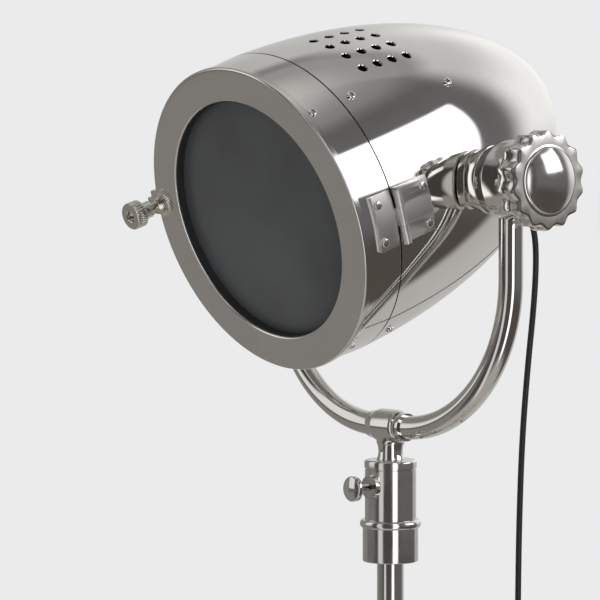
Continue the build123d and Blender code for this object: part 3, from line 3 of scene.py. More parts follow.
import logging
import math
from dataclasses import dataclass
from enum import Enum
from typing import Iterable, Sequence

import bmesh
import bpy
from mathutils import Matrix, Vector

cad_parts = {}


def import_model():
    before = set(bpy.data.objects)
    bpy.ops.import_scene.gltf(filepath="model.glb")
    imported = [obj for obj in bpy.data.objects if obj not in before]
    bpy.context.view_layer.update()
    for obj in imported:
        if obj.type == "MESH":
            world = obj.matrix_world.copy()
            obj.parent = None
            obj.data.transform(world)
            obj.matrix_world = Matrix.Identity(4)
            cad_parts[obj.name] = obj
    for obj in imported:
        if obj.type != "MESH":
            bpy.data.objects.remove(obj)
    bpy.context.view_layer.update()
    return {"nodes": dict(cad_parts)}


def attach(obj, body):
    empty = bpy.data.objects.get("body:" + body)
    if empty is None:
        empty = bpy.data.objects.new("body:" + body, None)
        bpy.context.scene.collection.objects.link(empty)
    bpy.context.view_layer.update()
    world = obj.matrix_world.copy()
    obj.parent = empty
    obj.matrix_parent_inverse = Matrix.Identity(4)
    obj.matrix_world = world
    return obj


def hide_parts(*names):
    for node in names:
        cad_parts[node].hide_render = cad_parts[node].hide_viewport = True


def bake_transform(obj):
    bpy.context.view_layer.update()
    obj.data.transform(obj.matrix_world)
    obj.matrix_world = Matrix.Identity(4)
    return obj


LOG = logging.getLogger("lamp")
MM = 0.001
SMOOTH_ANGLE = math.radians(32)
MERGE = 1e-6
NODE_MERGE = 2e-6
FINE_TURN = 256
PLAIN_TURN = 128
TURN_STEPS = 96
ARC_STEPS = 5
SEAM_LIP = 0.4
Point = tuple[float, float]
Spot = tuple[float, float, float]
Color = tuple[float, float, float]
Edges = list[bmesh.types.BMEdge]


class Body(str, Enum):
    """The bodies of the lamp that pieces ride on."""

    STAND = "stand"
    MAST = "mast"
    YOKE = "yoke"
    HEAD = "head"
    DOOR = "door"
    LATCH = "latch"
    KNOB_RIGHT = "knob_right"
    KNOB_LEFT = "knob_left"
    CLUTCH_THUMB = "clutch_thumb"
    MAST_THUMB = "mast_thumb"
    BUTTON = "button"


class Slot(str, Enum):
    """Names of the material slots."""

    NICKEL = "polished_nickel"
    CASTING = "polished_casting"
    STEEL = "steel"
    REFLECTOR = "reflector"
    FRONT_GLASS = "front_glass"
    BULB = "bulb_glass"
    CERAMIC = "ceramic"
    RUBBER = "black_rubber"
    CORD = "black_cord"
    PLASTIC = "black_plastic"
    BRASS = "pin_brass"


# Shader groups and finishes


class NodeSheet:
    """Short calls to add, set and join the nodes of a tree."""

    def __init__(self, tree: bpy.types.NodeTree) -> None:
        """Keep the tree at hand."""
        self.tree = tree

    @staticmethod
    def fill(node: bpy.types.Node, values: dict) -> None:
        """Set constants on a node's input sockets, by name or number."""
        for socket, value in values.items():
            node.inputs[socket].default_value = value

    def add(self, kind: str, values: dict | None = None, **settings: object) -> bpy.types.Node:
        """Add a node.

        Args:
            kind: The node's type, without its ShaderNode prefix.
            values: Constants for its input sockets, by name or number.
            settings: Its other properties, set before the constants.

        Returns:
            The node.
        """
        node = self.tree.nodes.new(f"ShaderNode{kind}")
        for name, value in settings.items():
            setattr(node, name, value)
        self.fill(node, values or {})
        return node

    def join(self, source: bpy.types.NodeSocket, *targets: bpy.types.NodeSocket) -> None:
        """Lead an output to one or more inputs."""
        for target in targets:
            self.tree.links.new(source, target)


class WearAndSheenGroup:
    """A node group that gives the fine unevenness of a worked surface; on the front glass its colour tone
    is a painted reflection.
    """

    NAME = "fine_wear_and_sheen"
    INPUTS = {"Scale": 60.0, "Low": 0.08, "High": 0.14}
    OUTPUTS = ("Roughness", "Height", "Tone")
    CLOUD_DETAIL = 6.0
    GRAIN_DETAIL = 3.0
    GRAIN_FINER = 14.0
    SPAN = {"From Min": 0.3, "From Max": 0.7}

    @classmethod
    def get(cls) -> bpy.types.NodeTree:
        """Return the group, building it the first time.

        Returns:
            The shader node group: inputs Scale, Low and High; outputs Roughness, Height and Tone.
        """
        found = bpy.data.node_groups.get(cls.NAME)
        return found or cls._build()

    @classmethod
    def _build(cls) -> bpy.types.NodeTree:
        """Build the group's sockets and nodes.

        Returns:
            The new group.
        """
        tree = bpy.data.node_groups.new(cls.NAME, "ShaderNodeTree")
        for name, value in cls.INPUTS.items():
            socket = tree.interface.new_socket(name, in_out="INPUT", socket_type="NodeSocketFloat")
            socket.default_value = value
        for name in cls.OUTPUTS:
            tree.interface.new_socket(name, in_out="OUTPUT", socket_type="NodeSocketFloat")
        sheet = NodeSheet(tree)
        entry = tree.nodes.new("NodeGroupInput").outputs
        result = tree.nodes.new("NodeGroupOutput").inputs
        place = sheet.add("TexCoord").outputs["Object"]
        cloud = sheet.add("TexNoise", {"Detail": cls.CLOUD_DETAIL})
        grain = sheet.add("TexNoise", {"Detail": cls.GRAIN_DETAIL})
        finer = sheet.add("Math", {1: cls.GRAIN_FINER}, operation="MULTIPLY")
        gloss = sheet.add("MapRange", cls.SPAN)
        tone = sheet.add("MapRange", cls.SPAN)
        sheet.join(place, cloud.inputs["Vector"], grain.inputs["Vector"])
        sheet.join(entry["Scale"], cloud.inputs["Scale"], finer.inputs[0])
        sheet.join(finer.outputs[0], grain.inputs["Scale"])
        sheet.join(cloud.outputs["Fac"], gloss.inputs["Value"], tone.inputs["Value"])
        sheet.join(entry["Low"], gloss.inputs["To Min"])
        sheet.join(entry["High"], gloss.inputs["To Max"])
        sheet.join(gloss.outputs["Result"], result["Roughness"])
        sheet.join(grain.outputs["Fac"], result["Height"])
        sheet.join(tone.outputs["Result"], result["Tone"])
        return tree


@dataclass(frozen=True)
class Finish:
    """A surface finish: its colour, gloss and fine unevenness.

    Attributes:
        name: The material's name.
        color: Linear base colour.
        metallic: 1 for bare metal, 0 for the rest.
        rough: Lowest and highest roughness over the surface.
        scale: How fine the unevenness is, per metre.
        bump: Strength of the grain, 0 for none.
        coat: Weight of a clear coat.
        mottle: How far the colour strays to either side, as a share.
        grain: Height of the grain, in metres.
    """

    name: str
    color: Color
    metallic: float
    rough: tuple[float, float]
    scale: float = 60.0
    bump: float = 0.0
    coat: float = 0.0
    mottle: float = 0.03
    grain: float = 0.2 * MM

    def material(self) -> bpy.types.Material:
        """Return the finish's material, made once.

        Returns:
            A node material with colour, roughness and grain from the wear and sheen group; on the front
            glass the colour's mottle is a painted reflection.
        """
        found = bpy.data.materials.get(self.name)
        if found:
            return found
        made = bpy.data.materials.new(self.name)
        made.use_nodes = True
        sheet = NodeSheet(made.node_tree)
        shader = made.node_tree.nodes["Principled BSDF"]
        sheet.fill(shader, {"Metallic": self.metallic, "Coat Weight": self.coat})
        span = {"Scale": self.scale, "Low": self.rough[0], "High": self.rough[1]}
        wear_and_sheen = sheet.add("Group", span, node_tree=WearAndSheenGroup.get()).outputs
        shares = {"A": 1 - self.mottle, "B": 1 + self.mottle}
        tones = {end: (*(share * value for value in self.color), 1.0) for end, share in shares.items()}
        tone = sheet.add("Mix", tones, data_type="RGBA")
        sheet.join(wear_and_sheen["Roughness"], shader.inputs["Roughness"])
        sheet.join(wear_and_sheen["Tone"], tone.inputs["Factor"])
        sheet.join(tone.outputs["Result"], shader.inputs["Base Color"])
        if self.bump:
            bump = sheet.add("Bump", {"Strength": self.bump, "Distance": self.grain})
            sheet.join(wear_and_sheen["Height"], bump.inputs["Height"])
            sheet.join(bump.outputs["Normal"], shader.inputs["Normal"])
        return made


NICKEL_COLOR = (0.70, 0.687, 0.668)
POLISHED = Finish("polished_nickel_finish", NICKEL_COLOR, 1.0, (0.035, 0.07), 25.0)
DRAWN = Finish("drawn_tube_finish", NICKEL_COLOR, 1.0, (0.10, 0.17), 40.0)
BEZEL_FACE = Finish("bezel_finish", NICKEL_COLOR, 1.0, (0.11, 0.16), 30.0)
BUFFED = Finish("buffed_knob_finish", NICKEL_COLOR, 1.0, (0.09, 0.17), 70.0)
SATIN = Finish("satin_nickel_finish", (0.72, 0.70, 0.67), 1.0, (0.40, 0.50), 80.0, 0.08)
LEAF = Finish("hinge_leaf_finish", (0.74, 0.73, 0.71), 1.0, (0.34, 0.42), 60.0)
SCREW = Finish("screw_head_finish", (0.74, 0.73, 0.71), 1.0, (0.09, 0.15), 90.0)
LATCH_METAL = Finish("latch_nickel_finish", (0.68, 0.655, 0.60), 1.0, (0.14, 0.22), 70.0)
STEEL = Finish("bright_steel_finish", (0.58, 0.57, 0.56), 1.0, (0.18, 0.28), 90.0, 0.05)
MIRROR_BOWL = Finish("reflector_finish", (0.82, 0.82, 0.81), 1.0, (0.16, 0.24), 50.0, 0.06)
GLASS_COLOR = (0.092, 0.098, 0.103)
# Front glass: the strong, broad mottle of its colour is a painted reflection, soft lighter and darker
# clouds across the pane.
DARK_GLASS = Finish("front_glass_painted_reflection", GLASS_COLOR, 0.0, (0.30, 0.42), 8.0, 0.03, mottle=0.22)
OPAL = Finish("opal_bulb_finish", (0.88, 0.87, 0.82), 0.0, (0.12, 0.2), 60.0)
GLAZE = Finish("glazed_ceramic_finish", (0.8, 0.78, 0.73), 0.0, (0.12, 0.22), 40.0, 0.03, 0.4)
RUBBER = Finish("foot_rubber_finish", (0.018, 0.018, 0.018), 0.0, (0.62, 0.8), 220.0, 0.25)
SHEATH = Finish("cord_sheath_finish", (0.012, 0.012, 0.013), 0.0, (0.42, 0.55), 180.0, 0.12)
MOULDED = Finish("moulded_plastic_finish", (0.016, 0.016, 0.017), 0.0, (0.36, 0.5), 320.0, 0.2)
PIN_METAL = Finish("plug_pin_finish", (0.68, 0.64, 0.55), 1.0, (0.16, 0.24), 90.0)


# Making and placing pieces


def axes_matrix(origin: Vector, x: Vector, z: Vector) -> Matrix:
    """Return the matrix of a frame given by its origin, x direction and z direction.

    Args:
        origin: Where the frame sits, in metres.
        x: Direction of its x axis.
        z: Direction of its z axis.

    Returns:
        The 4 by 4 matrix that takes local points to the lamp's frame.
    """
    side = z.cross(x)
    turn = Matrix((x, side, z)).transposed().to_4x4()
    return Matrix.Translation(origin) @ turn


def linked(name: str, data: bpy.types.ID) -> bpy.types.Object:
    """Make an object of some data and put it in the scene.

    Args:
        name: The object's name.
        data: Its mesh, curve, camera or light.

    Returns:
        The object.
    """
    made = bpy.data.objects.new(name, data)
    bpy.context.scene.collection.objects.link(made)
    return made


def evaluated(thing: bpy.types.Object) -> bpy.types.Mesh:
    """The mesh of an object as its modifiers or its bevel make it."""
    graph = bpy.context.evaluated_depsgraph_get()
    return bpy.data.meshes.new_from_object(thing.evaluated_get(graph))


def plain_mesh(bm: bmesh.types.BMesh, name: str) -> bpy.types.Mesh:
    """Turn a bmesh into a mesh and free it.

    Args:
        bm: The shape, freed here.
        name: The mesh's name.

    Returns:
        The mesh, without any smoothing.
    """
    mesh = bpy.data.meshes.new(name)
    bm.to_mesh(mesh)
    bm.free()
    return mesh


def gathered(meshes: Iterable[bpy.types.Mesh]) -> bmesh.types.BMesh:
    """Bring meshes together in one shape, removing each.

    Args:
        meshes: The meshes, removed here.

    Returns:
        One shape that holds them all.
    """
    made = bmesh.new()
    for mesh in meshes:
        made.from_mesh(mesh)
        bpy.data.meshes.remove(mesh)
    return made


class Bench:
    """Makes meshes and sets them on the lamp as finished pieces."""

    def __init__(self, nodes: dict[str, bpy.types.Object]) -> None:
        """Keep the lamp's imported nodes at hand."""
        self.nodes = nodes

    def finish_mesh(self, bm: bmesh.types.BMesh, name: str) -> bpy.types.Mesh:
        """Turn a bmesh into a smooth mesh with sharp edges where faces fold.

        Args:
            bm: The shape, freed here.
            name: The mesh's name.

        Returns:
            The finished mesh.
        """
        for face in bm.faces:
            face.smooth = True
        mesh = plain_mesh(bm, name)
        mesh.set_sharp_from_angle(angle=SMOOTH_ANGLE)
        return mesh

    def place(
        self,
        name: str,
        mesh: bpy.types.Mesh,
        body: Body,
        finish: Finish,
        slot: Slot,
        replaces: Sequence[str] = (),
    ) -> bpy.types.Object:
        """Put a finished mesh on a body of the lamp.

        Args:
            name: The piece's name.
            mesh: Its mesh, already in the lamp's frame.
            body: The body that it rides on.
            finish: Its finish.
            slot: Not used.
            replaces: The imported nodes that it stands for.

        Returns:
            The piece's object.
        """
        piece = linked(name, mesh)
        mesh.materials.clear()
        mesh.materials.append(finish.material())
        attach(piece, body.value)
        if replaces:
            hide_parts(*replaces)
        LOG.info("%s on %s, %d faces", name, body.value, len(mesh.polygons))
        return piece

    def lathe(self, outline: Sequence[Point], place: Matrix, steps: int = TURN_STEPS) -> bmesh.types.BMesh:
        """Spin an outline of (radius, along) points, in millimetres, about a frame's z axis.

        Args:
            outline: The outline, closed on itself or with both ends on the axis.
            place: The frame whose z axis is the axis of the lathe.
            steps: Steps of the full turn.

        Returns:
            The turned shape in the lamp's frame.
        """
        bm = bmesh.new()
        verts = [bm.verts.new((radius * MM, 0.0, along * MM)) for radius, along in outline]
        for first, second in zip(verts, verts[1:]):
            bm.edges.new((first, second))
        if min(outline[0][0], outline[-1][0]) > 0:
            bm.edges.new((verts[-1], verts[0]))
        bmesh.ops.spin(
            bm,
            geom=[*bm.verts, *bm.edges],
            cent=(0, 0, 0),
            axis=(0, 0, 1),
            angle=math.tau,
            steps=steps,
            use_merge=True,
        )
        bmesh.ops.remove_doubles(bm, verts=bm.verts, dist=MERGE)
        bmesh.ops.recalc_face_normals(bm, faces=bm.faces)
        bm.transform(place)
        return bm

    def turned(
        self,
        name: str,
        outline: Sequence[Point],
        place: Matrix,
        body: Body,
        finish: Finish,
        slot: Slot,
        replaces: Sequence[str] = (),
        steps: int = TURN_STEPS,
    ) -> bpy.types.Object:
        """Make and place a lathe-turned piece; the arguments are those of lathe and place.

        Returns:
            The piece's object.
        """
        mesh = self.finish_mesh(self.lathe(outline, place, steps), name)
        return self.place(name, mesh, body, finish, slot, replaces)

    def dressed(self, node: str, body: Body, finish: Finish, slot: Slot) -> bpy.types.Object:
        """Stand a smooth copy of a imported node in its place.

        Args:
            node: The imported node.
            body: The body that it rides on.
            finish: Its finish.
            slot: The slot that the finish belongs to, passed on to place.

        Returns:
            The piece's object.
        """
        bm = bmesh.new()
        bm.from_mesh(self.nodes[node].data)
        bmesh.ops.remove_doubles(bm, verts=bm.verts, dist=NODE_MERGE)
        mesh = self.finish_mesh(bm, f"{node}_mesh")
        return self.place(f"{node}_dressed", mesh, body, finish, slot, [node])

    def cut(self, mesh: bpy.types.Mesh, cutter: bmesh.types.BMesh) -> bpy.types.Mesh:
        """Cut one closed shape out of another.

        Args:
            mesh: The mesh to cut.
            cutter: The closed shapes to take away, freed here.

        Returns:
            The cut mesh.
        """
        tool = linked("cutter", plain_mesh(cutter, "cutter"))
        target = linked("target", mesh)
        step = target.modifiers.new("cut", "BOOLEAN")
        step.operation = "DIFFERENCE"
        step.solver = "EXACT"
        step.object = tool
        result = evaluated(target)
        for thing in (tool, target):
            bpy.data.objects.remove(thing)
        return result

    @staticmethod
    def fluted(
        bm: bmesh.types.BMesh, beyond: float, count: int, depth: float, power: float = 1.0
    ) -> None:
        """Draw a turned shape's rim in, in waves about its z axis.

        Args:
            bm: The shape, turned about z.
            beyond: The radius from which on its points move.
            count: How many waves go round.
            depth: How deep they are.
            power: Below 1 for wide hollows with sharp crests.
        """
        for vert in bm.verts:
            radius = math.hypot(vert.co.x, vert.co.y) / MM
            if radius < beyond:
                continue
            turn = math.atan2(vert.co.y, vert.co.x) * count
            dip = depth * (0.5 - 0.5 * math.cos(turn)) ** power
            shrink = (radius - dip) / radius
            vert.co.x *= shrink
            vert.co.y *= shrink


def rounded(
    outline: Sequence[Point], radius: float, corners: Iterable[int], steps: int = ARC_STEPS
) -> list[Point]:
    """Round chosen corners of an outline with small arcs.

    Args:
        outline: Points of the outline, in millimetres.
        radius: Radius of the arcs.
        corners: Indices of the points to round.
        steps: Steps of each arc.

    Returns:
        The outline with its corners rounded.
    """
    chosen = set(corners)
    made: list[Point] = []
    for index, point in enumerate(outline):
        if index not in chosen:
            made.append(point)
            continue
        here = Vector(point)
        to_last = (Vector(outline[index - 1]) - here).normalized()
        to_next = (Vector(outline[(index + 1) % len(outline)]) - here).normalized()
        half = to_last.angle(to_next) / 2
        middle = here + (to_last + to_next).normalized() * radius / math.sin(half)
        start = here + to_last * radius / math.tan(half) - middle
        end = here + to_next * radius / math.tan(half) - middle
        for step in range(steps + 1):
            spoke = start.lerp(end, step / steps).normalized() * radius
            made.append(tuple(middle + spoke))
    return made


# Frames of the lamp


@dataclass(frozen=True)
class LampFrame:
    """Where the tilting head sits: the frame that its pieces are placed in.

    Attributes:
        pivot_z: Height of the tilt axis.
        pitch: How far the head looks down, in degrees.
        rise: How far the drum's axis is above the tilt axis.
        roll: Turn of the hinge and latch about the drum's axis, in degrees.
    """

    pivot_z: float = 1400.0
    pitch: float = 18.16
    rise: float = 15.0
    roll: float = -3.25

    @property
    def ahead(self) -> Vector:
        """The way the head looks."""
        return Vector((0, -math.cos(math.radians(self.pitch)), -math.sin(math.radians(self.pitch))))

    @property
    def above(self) -> Vector:
        """The head's own upwards."""
        return Vector((0, -math.sin(math.radians(self.pitch)), math.cos(math.radians(self.pitch))))

    @property
    def pivot(self) -> Vector:
        """The middle of the tilt axis, in metres."""
        return Vector((0, 0, self.pivot_z * MM))

    @property
    def centre(self) -> Vector:
        """The point of the drum's axis above the tilt axis, in metres."""
        return self.pivot + self.above * self.rise * MM

    def outward(self, angle: float) -> Vector:
        """The direction square to the drum's axis at an angle from +X towards its top."""
        turn = math.radians(angle)
        return Vector((1, 0, 0)) * math.cos(turn) + self.above * math.sin(turn)

    def drum(self, angle: float = 0.0) -> Matrix:
        """The drum's frame: z ahead, x outwards at an angle."""
        return axes_matrix(self.centre, self.outward(angle), self.ahead)

    def spindle(self, side: int) -> Matrix:
        """The tilt axis's frame on one side: z outwards."""
        return axes_matrix(self.pivot, Vector((0, 0, 1)), Vector((side, 0, 0)))


# The head


@dataclass
class Drum:
    """The bullet-shaped housing, in millimetres along and about the drum's axis."""

    bench: Bench
    frame: LampFrame
    radius: float = 143.5
    depth: float = 311.7
    wall: float = 1.6
    seam: float = 119.4
    start: float = -75.0
    fold: float = 12.0
    vent_radius: float = 4.4
    vent_lip: float = 0.7
    vent_reach: float = 6.4
    vent_steps: int = 32
    vent_leans: tuple[float, ...] = (11.2, 19.93, 28.66, 37.39)
    vent_places: tuple[float, ...] = (15.5, 34.1, 52.7, 71.3)
    profile_steps: int = 64

    def radius_at(self, along: float) -> float:
        """The drum's outer radius at a place along its axis."""
        return self.radius * math.sqrt(max(0.0, 1 - ((self.seam - along) / self.depth) ** 2))

    def skin(self, inset: float) -> list[Point]:
        """Points of the quarter ellipse from its pole to the seam, set in by a wall.

        Args:
            inset: How far the points lie inside the metal.

        Returns:
            Points of (radius, along), from the pole on.
        """
        turns = [math.pi / 2 * step / self.profile_steps for step in range(self.profile_steps + 1)]
        wide, deep = self.radius - inset, self.depth - inset
        return [(wide * math.sin(turn), self.seam - deep * math.cos(turn)) for turn in turns]

    def seat(self, angle: float, along: float) -> Matrix:
        """The frame of something that sits on the drum's outside.

        Args:
            angle: Angle from +X towards the top, in degrees.
            along: Place along the drum's axis.

        Returns:
            A frame with z straight out of the metal and x forwards.
        """
        radius = self.radius_at(along)
        out, ahead = self.frame.outward(angle), self.frame.ahead
        lean_out, lean_back = radius / self.radius**2, (along - self.seam) / self.depth**2
        normal = (out * lean_out + ahead * lean_back).normalized()
        forward = (ahead * lean_out - out * lean_back).normalized()
        place = self.frame.centre + (out * radius + ahead * along) * MM
        return axes_matrix(place, forward, normal)

    def vent_cutter(self) -> bmesh.types.BMesh:
        """The round pins that punch the vents, flared where they leave an eased edge.

        Returns:
            All the pins in one shape.
        """
        lip = self.vent_lip
        outline = [
            (0.0, -self.vent_reach),
            (self.vent_radius, -self.vent_reach),
            (self.vent_radius, -lip),
            (self.vent_radius + 3 * lip, 2 * lip),
            (0.0, 2 * lip),
        ]
        pins = []
        for lean in self.vent_leans:
            for angle in (90 + lean, 90 - lean):
                for along in self.vent_places:
                    pin = self.bench.lathe(outline, self.seat(angle, along), self.vent_steps)
                    pins.append(plain_mesh(pin, "vent_pin"))
        return gathered(pins)

    def solid(self) -> bmesh.types.BMesh:
        """The whole bullet as one closed shape, to fit other pieces to its outside."""
        outline = [*self.skin(0.0), (0.0, self.seam)]
        return self.bench.lathe(outline, self.frame.drum(self.start), FINE_TURN)

    def shell_normals(self, mesh: bpy.types.Mesh) -> None:
        """Give the shell's faces the true normals of its curve, so that it mirrors smoothly.

        Args:
            mesh: The shell, changed in place.
        """
        place = self.frame.drum().inverted()
        turn = self.frame.drum().to_3x3()
        near = math.cos(math.radians(self.fold))
        chosen = []
        for polygon in mesh.polygons:
            for index in polygon.loop_indices:
                local = place @ mesh.vertices[mesh.loops[index].vertex_index].co / MM
                local.z -= self.seam
                lean = Vector((*(local.xy / self.radius**2), local.z / self.depth**2))
                normal = (turn @ lean).normalized() if lean.length else polygon.normal
                side = 1 if normal.dot(polygon.normal) > 0 else -1
                matched = abs(normal.dot(polygon.normal)) > near
                chosen.append(normal * side if matched else polygon.normal)
        mesh.normals_split_custom_set([tuple(normal) for normal in chosen])

    def build_shell(self) -> None:
        """Make the housing: a spun shell with a flat front lip and punched vents."""
        rim = self.seam + SEAM_LIP
        lip = [(self.radius, rim), (self.radius - self.wall, rim)]
        outline = [*self.skin(0.0), *lip, *reversed(self.skin(self.wall))]
        bm = self.bench.lathe(outline, self.frame.drum(self.start), FINE_TURN)
        mesh = self.bench.finish_mesh(bm, "housing_shell")
        mesh = self.bench.cut(mesh, self.vent_cutter())
        for polygon in mesh.polygons:
            polygon.use_smooth = True
        self.shell_normals(mesh)
        self.bench.place("housing_shell", mesh, Body.HEAD, POLISHED, Slot.NICKEL, ["housing"])


@dataclass
class Door:
    """The hinged door: its ring, bezel, glass and gasket."""

    bench: Bench
    frame: LampFrame
    rear: float = 121.2
    rear_radius: float = 143.5
    front: float = 161.4
    front_radius: float = 141.2
    wall: float = 1.6
    bezel_front: float = 163.2
    bezel_radius: float = 143.0
    bezel_hole: float = 111.5
    skirt: float = 5.0
    lip_rear: float = 155.4
    edge: float = 2.0
    crown: float = 0.7
    glass_radius: float = 117.5
    glass: float = 4.0
    gasket: float = 2.0
    seal_lip: float = 0.8
    seal_inset: float = 0.8
    seal_play: float = 0.03
    skirt_play: float = 0.05
    ring_edge: float = 0.6
    glass_edge: float = 0.5
    crown_steps: int = 8
    edge_steps: int = 8
    glass_steps: int = 192

    def radius_at(self, along: float) -> float:
        """The ring's outer radius at a place along the drum's axis."""
        share = (along - self.rear) / (self.front - self.rear)
        return self.rear_radius + (self.front_radius - self.rear_radius) * share

    def seat(self, angle: float, along: float) -> Matrix:
        """The frame of a screw on the ring, z outwards.

        Args:
            angle: Angle from +X towards the top, in degrees.
            along: Place along the drum's axis.

        Returns:
            The screw's frame, with x ahead.
        """
        out, ahead = self.frame.outward(angle), self.frame.ahead
        place = self.frame.centre + (out * self.radius_at(along) + ahead * along) * MM
        return axes_matrix(place, ahead, out)

    def build(self) -> None:
        """Make the ring, the bezel, the gasket and the glass."""
        drum = self.frame.drum()
        ring = [
            (self.rear_radius, self.rear - SEAM_LIP),
            (self.front_radius, self.front),
            (self.front_radius - self.wall, self.front),
            (self.rear_radius - self.wall, self.rear - SEAM_LIP),
        ]
        ring = rounded(ring, self.ring_edge, [0, 3])
        skirt_rear = self.front - self.skirt
        skirt_radius = self.radius_at(skirt_rear) + self.skirt_play
        wall = self.bezel_front - self.front
        bezel = [
            (self.bezel_hole, self.lip_rear),
            (self.bezel_hole + wall, self.lip_rear),
            (self.bezel_hole + wall, self.front),
            (skirt_radius, self.front),
            (skirt_radius, skirt_rear),
            (self.bezel_radius, skirt_rear),
            (self.bezel_radius, self.bezel_front),
        ]
        width = self.bezel_radius - self.bezel_hole
        for step in range(1, self.crown_steps):
            share = step / self.crown_steps
            swell = self.crown * (1 - (2 * share - 1) ** 2)
            bezel.append((self.bezel_radius - width * share, self.bezel_front + swell))
        bezel.append((self.bezel_hole, self.bezel_front))
        bezel = rounded(bezel, self.edge, [6, len(bezel) - 1], self.edge_steps)
        gasket_rear = self.lip_rear - self.gasket
        sleeve_front = self.front - self.seal_inset
        sleeve = self.bezel_hole - self.seal_play
        # The seal's sleeve lines the bezel's inner wall in black rubber: partly a real gasket, partly
        # painted shade for the dark band at the edge of the recess.
        seal_and_shade = [
            (self.bezel_hole - self.seal_lip, gasket_rear),
            (self.glass_radius, gasket_rear),
            (self.glass_radius, self.lip_rear),
            (sleeve, self.lip_rear),
            (sleeve, sleeve_front),
            (self.bezel_hole - self.seal_lip, sleeve_front),
        ]
        pane = [
            (0.0, gasket_rear - self.glass),
            (self.glass_radius, gasket_rear - self.glass),
            (self.glass_radius, gasket_rear),
            (0.0, gasket_rear),
        ]
        pane = rounded(pane, self.glass_edge, [1, 2])
        for name, outline, finish, slot, node, steps in (
            ("door_band", ring, POLISHED, Slot.NICKEL, "door_ring", FINE_TURN),
            ("bezel_face", bezel, BEZEL_FACE, Slot.NICKEL, "bezel", FINE_TURN),
            ("glass_seal_and_shade", seal_and_shade, RUBBER, Slot.RUBBER, "glass_gasket", self.glass_steps),
            ("front_pane", pane, DARK_GLASS, Slot.FRONT_GLASS, "glass", self.glass_steps),
        ):
            self.bench.turned(name, outline, drum, Body.DOOR, finish, slot, [node], steps)


@dataclass
class Screws:
    """Pan head screws with a cross recess, and where they sit on the drum and its door."""

    bench: Bench
    drum: Drum
    door: Door
    radius: float = 3.9
    height: float = 2.4
    crown: float = 0.9
    crown_steps: int = 6
    shaft: float = 1.0
    shaft_radius: float = 2.0
    turn_steps: int = 32
    recess: float = 1.5
    arm: float = 4.8
    arm_width: float = 1.3
    first_turn: float = 23.0
    turn_each: float = 37.0
    corners: tuple[float, ...] = (43.2, 136.8, 237.0, 303.0)
    drum_row: float = 106.9
    ring_row: float = 152.0
    plate_angles: Point = (35.4, 144.6)
    plate_row: float = -1.5
    leaf_half: float = 16.9
    leaf_top: float = 2.0
    leaf_rows: Point = (86.8, 140.3)

    def master(self) -> bpy.types.Mesh:
        """One screw head at the origin, z outwards.

        Returns:
            The head with its cross recess.
        """
        side = self.height - self.crown
        outline = [
            (0.0, -self.shaft),
            (self.shaft_radius, -self.shaft),
            (self.shaft_radius, 0.0),
            (self.radius, 0.0),
            (self.radius, side),
        ]
        for step in range(1, self.crown_steps + 1):
            turn = math.pi / 2 * step / self.crown_steps
            outline.append((self.radius * math.cos(turn), side + self.crown * math.sin(turn)))
        turned = self.bench.lathe(outline, Matrix.Identity(4), self.turn_steps)
        head = self.bench.finish_mesh(turned, "screw_head")
        lift = Matrix.Translation((0, 0, self.height * MM))
        size = Matrix.Diagonal((self.arm * MM, self.arm_width * MM, 2 * self.recess * MM, 1.0))
        for turn in (0.0, math.pi / 2):
            slot = bmesh.new()
            bmesh.ops.create_cube(slot, size=1.0, matrix=lift @ Matrix.Rotation(turn, 4, "Z") @ size)
            head = self.bench.cut(head, slot)
        return head

    def leaf_seats(self, along: float) -> list[Matrix]:
        """The frames of the two screws of a hinge leaf.

        Args:
            along: Their place along the drum's axis.

        Returns:
            A frame for each screw, z outwards.
        """
        frame = self.drum.frame
        lean = math.degrees(math.asin(self.leaf_half / self.drum.radius))
        seats = []
        for angle in (frame.roll - lean, frame.roll + lean):
            out = frame.outward(angle)
            spot = frame.centre + (out * (self.drum.radius + self.leaf_top) + frame.ahead * along) * MM
            seats.append(axes_matrix(spot, frame.ahead, out))
        return seats

    def set_group(self, name: str, seats: Sequence[Matrix], body: Body, node: str) -> None:
        """Set a group of screws.

        Args:
            name: The group's name.
            seats: A frame for each screw, z outwards.
            body: The body that they ride on.
            node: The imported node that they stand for.
        """
        head = self.master()
        group = []
        for number, seat in enumerate(seats):
            turn = math.radians(self.first_turn + self.turn_each * number)
            group.append(head.copy())
            group[-1].transform(seat @ Matrix.Rotation(turn, 4, "Z"))
        mesh = self.bench.finish_mesh(gathered(group), name)
        self.bench.place(name, mesh, body, SCREW, Slot.STEEL, [node])

    def build(self) -> None:
        """Set the screws of the drum, the ring and the hinge's leaves."""
        drum_seats = [self.drum.seat(angle, self.drum_row) for angle in self.corners]
        drum_seats += [self.drum.seat(angle, self.plate_row) for angle in self.plate_angles]
        ring_seats = [self.door.seat(angle, self.ring_row) for angle in self.corners]
        drum_leaf, door_leaf = (self.leaf_seats(row) for row in self.leaf_rows)
        self.set_group("drum_screws", drum_seats, Body.HEAD, "housing_screws")
        self.set_group("ring_screws", ring_seats, Body.DOOR, "door_screws")
        self.set_group("leaf_screws_drum", drum_leaf, Body.HEAD, "hinge_body_screws")
        self.set_group("leaf_screws_door", door_leaf, Body.DOOR, "hinge_door_screws")


